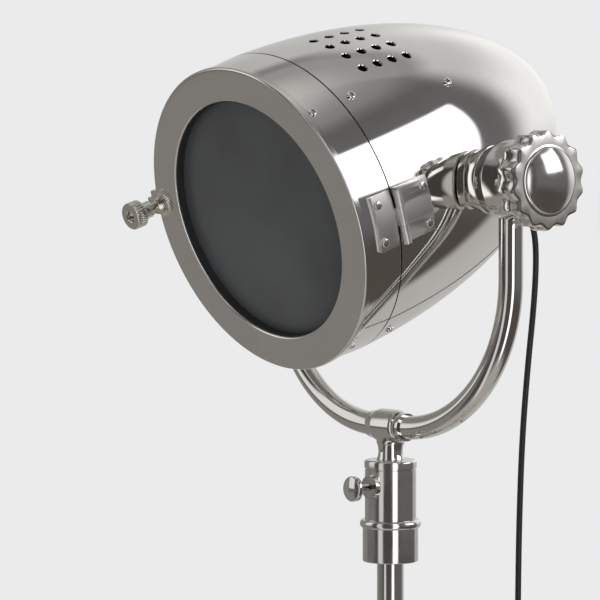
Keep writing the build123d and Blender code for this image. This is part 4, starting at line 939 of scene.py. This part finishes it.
@dataclass
class Latch:
    """The knurled screw that holds the door shut."""

    bench: Bench
    frame: LampFrame
    reach: float = 157.0
    tip: float = 101.5
    shank: float = 4.0
    seat: Point = (155.1, 157.1)
    seat_radius: float = 6.5
    collar: float = 164.0
    collar_radius: float = 8.0
    head: Point = (175.0, 187.0)
    head_radius: float = 12.9
    bore_radius: float = 5.0
    bore: float = 5.0
    ease: float = 0.8
    knurls: int = 36
    knurl_depth: float = 0.5
    knurl_rim: float = 0.1
    knurl_steps: int = 4

    def build(self) -> None:
        """Turn the screw, knurl its head and set it beside the drum."""
        low, top = self.head
        outline = [
            (0.0, self.tip),
            (self.shank, self.tip),
            (self.shank, self.seat[0]),
            (self.seat_radius, self.seat[0]),
            (self.seat_radius, self.seat[1]),
            (self.shank, self.seat[1]),
            (self.shank, self.collar),
            (self.collar_radius, self.collar),
            (self.collar_radius, low),
            (self.head_radius - self.ease, low),
            (self.head_radius, low + self.ease),
            (self.head_radius, top - self.ease),
            (self.head_radius - self.ease, top),
            (self.bore_radius + self.ease, top),
            (self.bore_radius, top - self.ease),
            (self.bore_radius, top - self.bore),
            (0.0, top - self.bore),
        ]
        bm = self.bench.lathe(outline, Matrix.Identity(4), self.knurl_steps * self.knurls)
        self.bench.fluted(bm, self.head_radius - self.knurl_rim, self.knurls, self.knurl_depth)
        out = self.frame.outward(self.frame.roll)
        spot = self.frame.centre - out * self.reach * MM
        bm.transform(axes_matrix(spot, out, self.frame.ahead))
        mesh = self.bench.finish_mesh(bm, "latch_knurl")
        self.bench.place("latch_knurl", mesh, Body.LATCH, LATCH_METAL, Slot.CASTING, ["latch_screw"])


@dataclass
class Pivot:
    """The turned stack on the tilt axis, on either side: boss, hub and scalloped knob."""

    bench: Bench
    frame: LampFrame
    drum: Drum
    boss_radius: float = 28.5
    boss_root: float = 118.0
    boss_step: float = 139.0
    ring_radius: float = 31.0
    ring_face: float = 148.0
    bore: float = 5.1
    hub_radius: float = 36.0
    hub_face: float = 33.4
    hub_taper: float = 13.4
    hub_in: float = 149.6
    hub_out: float = 186.0
    knob_radius: float = 44.2
    knob_back: float = 190.0
    knob_front: float = 211.5
    neck_radius: float = 32.0
    play: float = 0.1
    rim_ease: float = 3.0
    rim_bite: float = 0.9
    groove: tuple[float, ...] = (8.0, 9.2, 10.4, 11.6)
    groove_depth: float = 1.2
    scallops: int = 14
    scallop_steps: int = 14
    scallop_depth: float = 3.7
    scallop_power: float = 0.85
    scallop_margin: float = 2.0
    cap_radius: float = 32.5
    dome_radius: float = 28.4
    dome_low: float = 2.6
    cap_rise: float = 10.0
    stud_radius: float = 5.0
    stud_tip: float = 122.0
    shoulder_steps: int = 8
    dome_steps: int = 16
    ring_edge: float = 1.2
    hub_edge: float = 2.0
    face_normal: float = 0.99
    face_reach: float = 0.2

    def knob_mesh(self, side: int) -> bpy.types.Mesh:
        """The knob's scalloped rim, its domed cap and its stud.

        Args:
            side: 1 for the photographed side, -1 for the other.

        Returns:
            The knob's mesh in the lamp's frame.
        """
        seat, back, front = self.hub_out + self.play, self.knob_back, self.knob_front
        rim, ease, bite = self.knob_radius, self.rim_ease, self.rim_bite
        waist = rim - self.groove_depth
        outline = [
            (0.0, self.stud_tip),
            (self.stud_radius, self.stud_tip),
            (self.stud_radius, seat),
            (self.neck_radius, seat),
            (self.neck_radius, back),
            (rim - ease, back),
            (rim - bite, back + bite),
            (rim, back + ease),
            *((wide, back + reach) for wide, reach in zip((rim, waist, waist, rim), self.groove)),
            (rim, front - ease),
            (rim - bite, front - bite),
            (rim - ease, front),
        ]
        shoulder, low = self.cap_radius - self.dome_radius, self.dome_low
        for step in range(self.shoulder_steps + 1):
            turn = math.pi / 2 * step / self.shoulder_steps
            radius = self.cap_radius - shoulder * math.sin(turn)
            outline.append((radius, front + low * (1 - math.cos(turn))))
        rise = self.cap_rise - low
        sphere = (self.dome_radius**2 + rise**2) / (2 * rise)
        spread = math.asin(self.dome_radius / sphere)
        for step in range(1, self.dome_steps + 1):
            turn = spread * (1 - step / self.dome_steps)
            height = self.cap_rise - sphere * (1 - math.cos(turn))
            outline.append((sphere * math.sin(turn), front + height))
        bm = self.bench.lathe(outline, Matrix.Identity(4), self.scallops * self.scallop_steps)
        beyond = rim - self.scallop_depth - self.scallop_margin
        self.bench.fluted(bm, beyond, self.scallops, self.scallop_depth, self.scallop_power)
        bm.transform(self.frame.spindle(side))
        if side < 0:
            bmesh.ops.recalc_face_normals(bm, faces=bm.faces)
        return self.bench.finish_mesh(bm, "tilt_knob")

    def build_bosses(self) -> None:
        """Make the two bosses that stand on the drum's sides."""
        outline = [
            (self.bore, self.boss_root),
            (self.boss_radius, self.boss_root),
            (self.boss_radius, self.boss_step),
            (self.ring_radius, self.boss_step),
            (self.ring_radius, self.ring_face),
            (self.bore, self.ring_face),
        ]
        outline = rounded(outline, self.ring_edge, [3, 4])
        pair = []
        for side in (1, -1):
            boss = self.bench.lathe(outline, self.frame.spindle(side), PLAIN_TURN)
            bmesh.ops.recalc_face_normals(boss, faces=boss.faces)
            pair.append(self.bench.cut(self.bench.finish_mesh(boss, "boss"), self.drum.solid()))
        mesh = self.bench.finish_mesh(gathered(pair), "boss_pair")
        self.bench.place("boss_pair", mesh, Body.HEAD, POLISHED, Slot.CASTING, ["pivot_bosses"])

    def build_knob(self, side: int, name: str, body: Body) -> None:
        """Make one knob, satin on the flat of its front and buffed elsewhere.

        Args:
            side: 1 for the photographed side, -1 for the other.
            name: The side's name.
            body: The knob's body.
        """
        mesh = self.knob_mesh(side)
        self.bench.place(f"knob_{name}", mesh, body, BUFFED, Slot.CASTING, [f"tilt_knob_{name}"])
        mesh.materials.append(SATIN.material())
        axis = self.frame.spindle(side).col[2].to_3d()
        for polygon in mesh.polygons:
            off = abs(abs(polygon.center.x) / MM - self.knob_front)
            if polygon.normal.dot(axis) > self.face_normal and off < self.face_reach:
                polygon.material_index = 1

    def build(self) -> None:
        """Make the bosses and both sides' hubs and knobs."""
        self.build_bosses()
        hub = [
            (self.bore, self.hub_in),
            (self.hub_face, self.hub_in),
            (self.hub_radius, self.hub_in + self.hub_taper),
            (self.hub_radius, self.hub_out),
            (self.bore, self.hub_out),
        ]
        hub = rounded(hub, self.hub_edge, [1, 2, 3])
        for side, name, body in ((1, "right", Body.KNOB_RIGHT), (-1, "left", Body.KNOB_LEFT)):
            self.build_knob(side, name, body)
            self.bench.turned(
                f"hub_{name}",
                hub,
                self.frame.spindle(side),
                Body.YOKE,
                POLISHED,
                Slot.CASTING,
                [f"yoke_hub_{name}"],
                PLAIN_TURN,
            )


@dataclass
class Yoke:
    """The bent tube that carries the head."""

    bench: Bench
    frame: LampFrame
    reach: float = 163.0
    drop: float = 88.0
    bend: float = 142.0
    tube: float = 11.0
    arm_top: float = 1384.0
    ring_steps: int = 96
    bend_steps: int = 128

    @staticmethod
    def drawn(bm: bmesh.types.BMesh, edges: Edges, by: Vector) -> Edges:
        """Draw a tube's open end along a straight run.

        Args:
            bm: The tube.
            edges: The edges of its open end.
            by: How far and which way, in metres.

        Returns:
            The edges of the new end.
        """
        made = bmesh.ops.extrude_edge_only(bm, edges=edges)["geom"]
        verts = [thing for thing in made if isinstance(thing, bmesh.types.BMVert)]
        bmesh.ops.translate(bm, verts=verts, vec=by)
        return [thing for thing in made if isinstance(thing, bmesh.types.BMEdge)]

    def bent(self, bm: bmesh.types.BMesh, edges: Edges, centre: Vector) -> Edges:
        """Bend a tube's open end through a quarter turn about a centre.

        Args:
            bm: The tube.
            edges: The edges of its open end.
            centre: The middle of the bend, in metres.

        Returns:
            The edges of the new end.
        """
        verts = list({vert for edge in edges for vert in edge.verts})
        made = bmesh.ops.spin(
            bm,
            geom=[*verts, *edges],
            cent=centre,
            axis=(0, 1, 0),
            angle=math.pi / 2,
            steps=self.bend_steps,
        )["geom_last"]
        return [thing for thing in made if isinstance(thing, bmesh.types.BMEdge)]

    def build(self) -> None:
        """Run the tube from hub to hub: an arm, a bend, the flat, a bend and an arm."""
        bend_z = self.frame.pivot_z - self.drop
        flat = self.reach - self.bend
        arm = Vector((0, 0, (self.arm_top - bend_z) * MM))
        bm = bmesh.new()
        start = bmesh.ops.create_circle(
            bm,
            segments=self.ring_steps,
            radius=self.tube * MM,
            cap_ends=True,
            matrix=Matrix.Translation((self.reach * MM, 0, self.arm_top * MM)),
        )["verts"]
        end = list({edge for vert in start for edge in vert.link_edges})
        end = self.drawn(bm, end, -arm)
        end = self.bent(bm, end, Vector((flat * MM, 0, bend_z * MM)))
        end = self.drawn(bm, end, Vector((-2 * flat * MM, 0, 0)))
        end = self.bent(bm, end, Vector((-flat * MM, 0, bend_z * MM)))
        end = self.drawn(bm, end, arm)
        bmesh.ops.contextual_create(bm, geom=end)
        bmesh.ops.remove_doubles(bm, verts=bm.verts, dist=MERGE)
        bmesh.ops.recalc_face_normals(bm, faces=bm.faces)
        mesh = self.bench.finish_mesh(bm, "yoke_bend")
        self.bench.place("yoke_bend", mesh, Body.YOKE, POLISHED, Slot.NICKEL, ["yoke_tube"])


@dataclass
class Clutch:
    """The turned sleeves that the yoke pans on, about the column's axis."""

    bench: Bench
    bore: float = 12.7
    upper: Point = (1082.8, 1138.5)
    upper_radius: float = 24.0
    flange: float = 7.4
    flange_radius: float = 24.5
    groove: float = 0.8
    groove_span: tuple[float, ...] = (1.6, 1.12, 0.48)
    lower: Point = (1043.3, 1072.7)
    lower_radius: float = 26.0
    bead_radius: float = 28.6
    bead_half: float = 3.9
    bead_top: float = 1082.7
    bead_steps: int = 16
    top_edge: float = 2.2
    low_edge: float = 1.2

    def upper_outline(self) -> list[Point]:
        """The upper sleeve, with a groove under its flange.

        Returns:
            Its outline.
        """
        low, top = self.upper
        step = top - self.flange
        waist = self.upper_radius - self.groove
        outline = [
            (self.bore, low),
            (self.upper_radius, low),
            (self.upper_radius, step - self.groove_span[0]),
            (waist, step - self.groove_span[1]),
            (waist, step - self.groove_span[2]),
            (self.flange_radius, step),
            (self.flange_radius, top),
            (self.bore, top),
        ]
        return rounded(outline, self.top_edge, [6])

    def bead_outline(self) -> list[Point]:
        """The bead between the sleeves, on a plain band.

        Returns:
            Its outline.
        """
        low = self.lower[1]
        middle = self.bead_top - self.bead_half
        foot = middle - self.bead_half
        outline = [(self.bore, low), (self.lower_radius, low), (self.lower_radius, foot)]
        swell = self.bead_radius - self.lower_radius
        for step in range(1, self.bead_steps + 1):
            turn = math.pi * (step / self.bead_steps - 0.5)
            radius = self.lower_radius + swell * math.cos(turn)
            outline.append((radius, middle + self.bead_half * math.sin(turn)))
        return [*outline, (self.bore, self.bead_top)]

    def build(self) -> None:
        """Turn the two sleeves and the bead."""
        low, top = self.lower
        sleeve = [(self.bore, low), (self.lower_radius, low), (self.lower_radius, top), (self.bore, top)]
        column = Matrix.Identity(4)
        for name, outline, body, node in (
            ("upper_sleeve", self.upper_outline(), Body.YOKE, "clutch_upper"),
            ("clutch_bead", self.bead_outline(), Body.MAST, "clutch_ring"),
            ("lower_sleeve", rounded(sleeve, self.low_edge, [1]), Body.MAST, "clutch_lower"),
        ):
            self.bench.turned(name, outline, column, body, DRAWN, Slot.NICKEL, [node], PLAIN_TURN)


# The cord


@dataclass
class Cord:
    """The black mains cord, from the gland to its plug."""

    bench: Bench
    diameter: float = 6.0
    ring: int = 16
    smooth_steps: int = 10
    cap_angle: float = 60.0
    top: tuple[Spot, ...] = (
        (0, 161.06, 1376.35), (0, 176.98, 1364.24), (0, 184.5, 1344), (0, 186, 1316),
        (0, 183, 1275), (0, 175, 1216), (0, 171.5, 1181),
    )
    drop: tuple[Spot, ...] = (
        (0, 171.5, 1181), (0, 168, 1146), (0, 164.5, 1064), (0, 163.3, 980),
        (0, 163, 896), (0, 163.9, 812), (0, 165.15, 771),
    )
    low: tuple[Spot, ...] = (
        (0, 165.15, 771), (0, 166.4, 730), (0, 169.4, 655), (0, 173.6, 580),
        (0, 177.2, 505), (0, 179.4, 425), (0, 180.2, 345), (0, 179.9, 265),
        (0, 179.55, 227.5),
    )
    floor: tuple[Spot, ...] = (
        (0, 179.55, 227.5), (0, 179.2, 190), (2, 179, 135), (9, 178.8, 88),
        (24, 178, 50), (48, 176.4, 24), (76, 173.8, 9.5), (104, 172, 6),
        (132, 172, 6),
    )
    tail: tuple[Spot, ...] = (
        (196, 172, 6), (216, 172, 6), (238, 167, 4.6), (254, 151, 3.6),
        (259, 128, 3.3), (251, 106, 3.3), (232, 91, 3.3), (204, 84, 3.4),
        (168, 81.5, 3.8), (136, 80.2, 4.4),
    )
    coil_centre: Point = (95.0, 40.0)
    coil_low: float = 4.4
    coil_layer: float = 6.6
    coil_radii: tuple[float, ...] = (40.2, 36.6, 33.0, 29.4, 25.8, 23.4, 28.8, 32.4, 36.0, 39.6)
    climb_half_turn: int = 4
    coil_steps: int = 12
    plug_lead: tuple[Spot, ...] = ((115, 0.4, 10.0), (129, 0.4, 7.4), (141, 0.4, 7.0))

    def coil(self) -> list[Spot]:
        """Points of the put-away coil: in on the low layer, up, and out on top.

        Returns:
            The points, in millimetres.
        """
        made = []
        halves = len(self.coil_radii) - 1
        for step in range(halves * self.coil_steps + 1):
            half = min(step // self.coil_steps, halves - 1)
            share = step / self.coil_steps - half
            radius = self.coil_radii[half] + (self.coil_radii[half + 1] - self.coil_radii[half]) * share
            turn = math.radians(90 + 180 * step / self.coil_steps)
            climb = min(1.0, max(0.0, step / self.coil_steps - self.climb_half_turn))
            height = self.coil_low + self.coil_layer * (0.5 - 0.5 * math.cos(math.pi * climb))
            across = self.coil_centre[0] + radius * math.cos(turn)
            made.append((across, self.coil_centre[1] + radius * math.sin(turn), height))
        return made

    def swept(self, name: str, kind: str, points: Sequence, bevel: float) -> bpy.types.Mesh:
        """The mesh of a curve along points.

        Args:
            name: The curve's name.
            kind: NURBS for a smooth line, POLY for one that goes through each point.
            points: The points, in metres.
            bevel: The radius of a capped tube along it, 0 for the bare line.

        Returns:
            The mesh.
        """
        line = bpy.data.curves.new(name, "CURVE")
        line.dimensions = "3D"
        line.resolution_u = self.smooth_steps
        line.bevel_depth = bevel
        line.bevel_resolution = self.ring // 4
        line.use_fill_caps = bevel > 0
        spline = line.splines.new(kind)
        spline.points.add(len(points) - 1)
        for spot, point in zip(spline.points, points):
            spot.co = (*point, 1.0)
        spline.order_u = 3
        spline.use_endpoint_u = True
        spline.resolution_u = self.smooth_steps
        carrier = linked(name, line)
        mesh = evaluated(carrier)
        bpy.data.objects.remove(carrier)
        return mesh

    def tube(self, name: str, points: Sequence[Spot]) -> tuple[bpy.types.Object, list[Vector]]:
        """A mesh tube along a route's smooth line.

        Args:
            name: The tube's name.
            points: The route's control points, in millimetres.

        Returns:
            The tube's object, with no parent, and the points that it follows.
        """
        route = [tuple(value * MM for value in point) for point in points]
        guide = self.swept(f"{name}_guide", "NURBS", route, 0.0)
        path = [vert.co.copy() for vert in guide.vertices]
        bpy.data.meshes.remove(guide)
        mesh = self.swept(f"{name}_line", "POLY", path, self.diameter / 2 * MM)
        for polygon in mesh.polygons:
            polygon.use_smooth = True
        mesh.set_sharp_from_angle(angle=math.radians(self.cap_angle))
        mesh.materials.clear()
        mesh.materials.append(SHEATH.material())
        piece = linked(name, mesh)
        return piece, path

    @staticmethod
    def length_of(path: Sequence[Vector]) -> float:
        """The length of a line of points, in metres."""
        return sum((after - before).length for before, after in zip(path, path[1:]))

    def declare(
        self,
        piece: bpy.types.Object,
        path: Sequence[Vector],
    ) -> None:
        """Log how long a length of the cord is.

        Args:
            piece: The tube.
            path: The points that it follows.
        """
        LOG.info("%s is %.0f mm of cord", piece.name, self.length_of(path) / MM)

    def build(self) -> None:
        """Make the five lengths of the cord and what is on them."""
        hung = (
            ("cord_at_head", self.top, "cord_top", Body.HEAD, Body.YOKE),
            ("cord_at_yoke", self.drop, "cord_drop", Body.YOKE, Body.MAST),
            ("cord_at_mast", self.low, "cord_low", Body.MAST, Body.STAND),
        )
        for name, points, node, upper, lower in hung:
            piece, path = self.tube(name, points)
            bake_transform(piece)
            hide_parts(node)
            self.declare(piece, path)
        switch = self.bench.dressed("switch_body", Body.STAND, MOULDED, Slot.PLASTIC)
        button = self.bench.dressed("switch_button", Body.BUTTON, MOULDED, Slot.PLASTIC)
        piece, path = self.tube("cord_to_switch", self.floor)
        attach(piece, Body.STAND.value)
        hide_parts("cord_floor")
        self.declare(piece, path)
        plug = self.bench.dressed("plug_body", Body.STAND, MOULDED, Slot.PLASTIC)
        pins = self.bench.dressed("plug_pins", Body.STAND, PIN_METAL, Slot.BRASS)
        tie = self.bench.dressed("coil_tie", Body.STAND, SHEATH, Slot.CORD)
        piece, path = self.tube("cord_to_plug", (*self.tail, *self.coil(), *self.plug_lead))
        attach(piece, Body.STAND.value)
        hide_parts("cord_tail", "cord_coil")
        self.declare(piece, path)


# Studio


@dataclass(frozen=True)
class Patch:
    """A part of the room that the metal mirrors, as a window of directions in degrees.

    Attributes:
        azimuth: Its left and right edges, 0 straight behind the lamp and 90 to the picture's right.
        elevation: Its low and high edges.
        color: Its light.
        feather: How soft its left and right edges are.
        rise: How soft its low and high edges are.
    """

    azimuth: Point
    elevation: Point
    color: Color
    feather: float = 4.0
    rise: float = 4.0


ROOM: tuple[Patch, ...] = (
    Patch((-200, 200), (54, 100), (0.40, 0.395, 0.39), 4.0, 6.0),
    Patch((-200, 200), (70, 100), (0.68, 0.67, 0.65), 4.0, 8.0),
    Patch((-200, 200), (-100, -48), (0.48, 0.455, 0.42), 4.0, 10.0),
    Patch((62, 140), (-44, 58), (0.165, 0.163, 0.165), 3.0, 20.0),
    Patch((-100, 62), (-50, 50), (0.28, 0.268, 0.252), 8.0, 6.0),
    Patch((-16, 60), (-60, 2), (0.57, 0.56, 0.54), 10.0, 6.0),
    Patch((-16, 60), (0, 51), (0.62, 0.62, 0.61), 14.0, 5.0),
    Patch((7, 60), (1, 54), (0.70, 0.70, 0.69), 9.0, 4.0),
    Patch((7, 60), (1, 36), (1.12, 1.12, 1.11), 9.0, 11.0),
    Patch((58, 140), (-46, -11), (0.10, 0.087, 0.077), 4.0, 8.0),
    Patch((-112, -66), (-14, -4), (0.17, 0.164, 0.156), 6.0, 2.0),
    Patch((-102, -70), (-4, 44), (0.95, 0.95, 0.93), 6.0, 2.0),
    Patch((-146, -126), (-60, 40), (0.8, 0.8, 0.79), 4.0, 10.0),
    Patch((151, 171), (-50, 50), (1.9, 1.9, 1.9), 3.0, 8.0),
    Patch((80, 118), (11, 38), (2.8, 2.8, 2.8), 1.2, 1.2),
)


class RoomSheet(NodeSheet):
    """Nodes that tell where in the room a mirrored ray goes."""

    def __init__(self, tree: bpy.types.NodeTree) -> None:
        """Keep the tree and the ray's direction at hand."""
        super().__init__(tree)
        self.ray = self.add("TexCoord").outputs["Generated"]

    def paired(
        self, operation: str, first: bpy.types.NodeSocket, second: bpy.types.NodeSocket
    ) -> bpy.types.NodeSocket:
        """Join two values with an operation.

        Args:
            operation: The Math node's operation.
            first: The first value.
            second: The second value.

        Returns:
            The operation's result.
        """
        step = self.add("Math", operation=operation)
        self.join(first, step.inputs[0])
        self.join(second, step.inputs[1])
        return step.outputs[0]

    def along(self, direction: Vector) -> bpy.types.NodeSocket:
        """How far the ray runs along a direction.

        Args:
            direction: A direction in the lamp's frame.

        Returns:
            The cosine between the two.
        """
        dot = self.add("VectorMath", {1: tuple(direction)}, operation="DOT_PRODUCT")
        self.join(self.ray, dot.inputs[0])
        return dot.outputs["Value"]

    def window(
        self,
        value: bpy.types.NodeSocket,
        edges: Point,
        feather: float,
        mask: bpy.types.NodeSocket | None = None,
    ) -> bpy.types.NodeSocket:
        """Pass the values between two edges, softly.

        Args:
            value: The value, in radians.
            edges: The low and high edges, in degrees.
            feather: How soft they are, to either side.
            mask: What is passed so far, if anything.

        Returns:
            1 inside the edges and what is passed so far, 0 outside.
        """
        for edge, (before, after) in zip(edges, ((0.0, 1.0), (1.0, 0.0))):
            span = {
                "From Min": math.radians(edge - feather),
                "From Max": math.radians(edge + feather),
                "To Min": before,
                "To Max": after,
            }
            ease = self.add("MapRange", span, interpolation_type="SMOOTHSTEP")
            self.join(value, ease.inputs["Value"])
            passed = ease.outputs["Result"]
            mask = self.paired("MULTIPLY", mask, passed) if mask else passed
        return mask


@dataclass
class Studio:
    """The camera, the pale floor, the soft light and what the metal mirrors."""

    frame: LampFrame
    lens: float = 180.0
    sensor: float = 36.0
    camera_pitch: float = 2.86
    yaw: float = 50.94
    pivot_right: float = 84.5
    pivot_down: float = -112.5
    pivot_ahead: float = 2786.0
    backdrop: Color = (0.83, 0.83, 0.835)
    dark: Color = (0.085, 0.08, 0.076)
    floor_radius: float = 6.0
    floor_color: Color = (0.78, 0.78, 0.785)
    floor_rough: float = 0.9
    floor_fade: Point = (0.3, 0.95)
    floor_steps: int = 96
    key_size: Point = (2.4, 1.8)
    key_energy: float = 45.0
    key_right: float = 1.2
    key_near: float = 1.4
    key_up: float = 1.6

    @property
    def right(self) -> Vector:
        """The picture's right in the lamp's frame."""
        return Vector((math.cos(math.radians(self.yaw)), math.sin(math.radians(self.yaw)), 0))

    @property
    def towards(self) -> Vector:
        """The level direction towards the camera."""
        return Vector((math.sin(math.radians(self.yaw)), -math.cos(math.radians(self.yaw)), 0))

    def build_camera(self) -> None:
        """Set the camera where the photograph was taken from."""
        pitch = math.radians(self.camera_pitch)
        up = Vector((0, 0, math.cos(pitch))) - self.towards * math.sin(pitch)
        ahead = -self.towards * math.cos(pitch) - Vector((0, 0, math.sin(pitch)))
        offset = self.right * self.pivot_right - up * self.pivot_down + ahead * self.pivot_ahead
        data = bpy.data.cameras.new("camera")
        data.lens = self.lens
        data.sensor_width = self.sensor
        camera = linked("camera", data)
        camera.matrix_world = axes_matrix(self.frame.pivot - offset * MM, self.right, -ahead)
        bpy.context.scene.camera = camera

    def build_floor(self) -> None:
        """Lay a pale round floor that fades into the backdrop."""
        bm = bmesh.new()
        bmesh.ops.create_circle(bm, cap_ends=True, segments=self.floor_steps, radius=self.floor_radius)
        mesh = plain_mesh(bm, "floor")
        mesh.materials.append(self.floor_material())
        linked("floor", mesh)

    def floor_material(self) -> bpy.types.Material:
        """Pale to the eye, clear to what the metal mirrors and clear at its rim.

        Returns:
            The floor's material.
        """
        made = bpy.data.materials.new("pale_floor")
        made.use_nodes = True
        sheet, nodes = NodeSheet(made.node_tree), made.node_tree.nodes
        shader = nodes["Principled BSDF"]
        sheet.fill(shader, {"Roughness": self.floor_rough, "Specular IOR Level": 0.0})
        sheet.fill(shader, {"Base Color": (*self.floor_color, 1.0)})
        low, high = (share * self.floor_radius for share in self.floor_fade)
        fade = sheet.add("MapRange", {"From Min": low, "From Max": high}, interpolation_type="SMOOTHSTEP")
        reach = sheet.add("VectorMath", operation="LENGTH")
        sheet.join(sheet.add("TexCoord").outputs["Object"], reach.inputs[0])
        sheet.join(reach.outputs["Value"], fade.inputs["Value"])
        look = shader.outputs["BSDF"]
        for share in (sheet.add("LightPath").outputs["Is Glossy Ray"], fade.outputs["Result"]):
            mix = sheet.add("MixShader")
            sheet.join(share, mix.inputs["Fac"])
            sheet.join(look, mix.inputs[1])
            sheet.join(sheet.add("BsdfTransparent").outputs["BSDF"], mix.inputs[2])
            look = mix.outputs["Shader"]
        sheet.join(look, nodes["Material Output"].inputs["Surface"])
        return made

    def build_world(self) -> None:
        """Give the eye a plain pale backdrop and the metal a room to mirror."""
        world = bpy.data.worlds.new("studio")
        bpy.context.scene.world = world
        world.use_nodes = True
        sheet = RoomSheet(world.node_tree)
        azimuth = sheet.paired("ARCTAN2", sheet.along(self.right), sheet.along(-self.towards))
        height = sheet.add("Math", operation="ARCSINE")
        sheet.join(sheet.along(Vector((0, 0, 1))), height.inputs[0])
        room: bpy.types.NodeSocket | None = None
        for patch in ROOM:
            mask = sheet.window(azimuth, patch.azimuth, patch.feather)
            mask = sheet.window(height.outputs[0], patch.elevation, patch.rise, mask)
            ends = {"A": (*self.dark, 1.0), "B": (*patch.color, 1.0)}
            mix = sheet.add("Mix", ends, data_type="RGBA")
            sheet.join(mask, mix.inputs["Factor"])
            if room:
                sheet.join(room, mix.inputs["A"])
            room = mix.outputs["Result"]
        seen = sheet.add("Mix", {"B": (*self.backdrop, 1.0)}, data_type="RGBA")
        sheet.join(sheet.add("LightPath").outputs["Is Camera Ray"], seen.inputs["Factor"])
        sheet.join(room, seen.inputs["A"])
        sheet.join(seen.outputs["Result"], world.node_tree.nodes["Background"].inputs["Color"])

    def build_light(self) -> None:
        """Hang one broad soft lamp over the scene."""
        data = bpy.data.lights.new("soft_key", "AREA")
        data.shape = "RECTANGLE"
        data.size, data.size_y = self.key_size
        data.energy = self.key_energy
        lamp = linked("soft_key", data)
        spot = self.frame.pivot + self.right * self.key_right + self.towards * self.key_near
        spot.z += self.key_up
        away = (spot - self.frame.pivot).normalized()
        level = Vector((0, 0, 1)).cross(away).normalized()
        lamp.matrix_world = axes_matrix(spot, level, away)
        lamp.visible_glossy = False

    def build(self) -> None:
        """Set the camera, the floor, the world and the lamp."""
        bpy.context.scene.view_settings.view_transform = "Standard"
        self.build_camera()
        self.build_floor()
        self.build_world()
        self.build_light()


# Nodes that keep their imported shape

DRESSED: tuple[tuple[Body, Finish, Slot, tuple[str, ...]], ...] = (
    (Body.STAND, DRAWN, Slot.NICKEL, ("leg_1", "leg_2", "leg_3", "mast_tube", "mast_cap", "mast_collar")),
    (Body.STAND, POLISHED, Slot.CASTING, ("leg_hub",)),
    (Body.STAND, RUBBER, Slot.RUBBER, ("foot_1", "foot_2", "foot_3")),
    (Body.STAND, STEEL, Slot.STEEL, ("leg_screws",)),
    (Body.MAST_THUMB, POLISHED, Slot.CASTING, ("mast_screw",)),
    (Body.MAST, DRAWN, Slot.NICKEL, ("column_tube",)),
    (Body.MAST, STEEL, Slot.STEEL, ("clutch_spigot",)),
    (Body.YOKE, DRAWN, Slot.NICKEL, ("clutch_boss",)),
    (Body.YOKE, POLISHED, Slot.NICKEL, ("tee_fitting",)),
    (Body.CLUTCH_THUMB, POLISHED, Slot.CASTING, ("clutch_screw",)),
    (Body.HEAD, POLISHED, Slot.CASTING, ("boss_nuts",)),
    (Body.HEAD, RUBBER, Slot.RUBBER, ("tilt_washers",)),
    (Body.HEAD, MIRROR_BOWL, Slot.REFLECTOR, ("reflector",)),
    (Body.HEAD, STEEL, Slot.STEEL, ("holder_plate", "hinge_pin")),
    (Body.HEAD, GLAZE, Slot.CERAMIC, ("lampholder",)),
    (Body.HEAD, OPAL, Slot.BULB, ("bulb",)),
    (Body.HEAD, LEAF, Slot.NICKEL, ("hinge_body_leaf", "latch_keeper")),
    (Body.HEAD, SHEATH, Slot.CORD, ("cord_gland",)),
    (Body.DOOR, LEAF, Slot.NICKEL, ("hinge_door_leaf", "latch_lug")),
    (Body.DOOR, STEEL, Slot.STEEL, ("glass_clips",)),
)


def main() -> None:
    """Build the lamp's pieces in order."""
    logging.basicConfig(level=logging.INFO, format="%(message)s")
    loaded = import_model()
    frame = LampFrame()
    bench = Bench(loaded["nodes"])
    Studio(frame).build()
    Cord(bench).build()
    drum = Drum(bench, frame)
    drum.build_shell()
    door = Door(bench, frame)
    door.build()
    Latch(bench, frame).build()
    Pivot(bench, frame, drum).build()
    Yoke(bench, frame).build()
    Clutch(bench).build()
    for body, finish, slot, names in DRESSED:
        for node in names:
            bench.dressed(node, body, finish, slot)
    Screws(bench, drum, door).build()


if __name__ == "__main__":
    main()
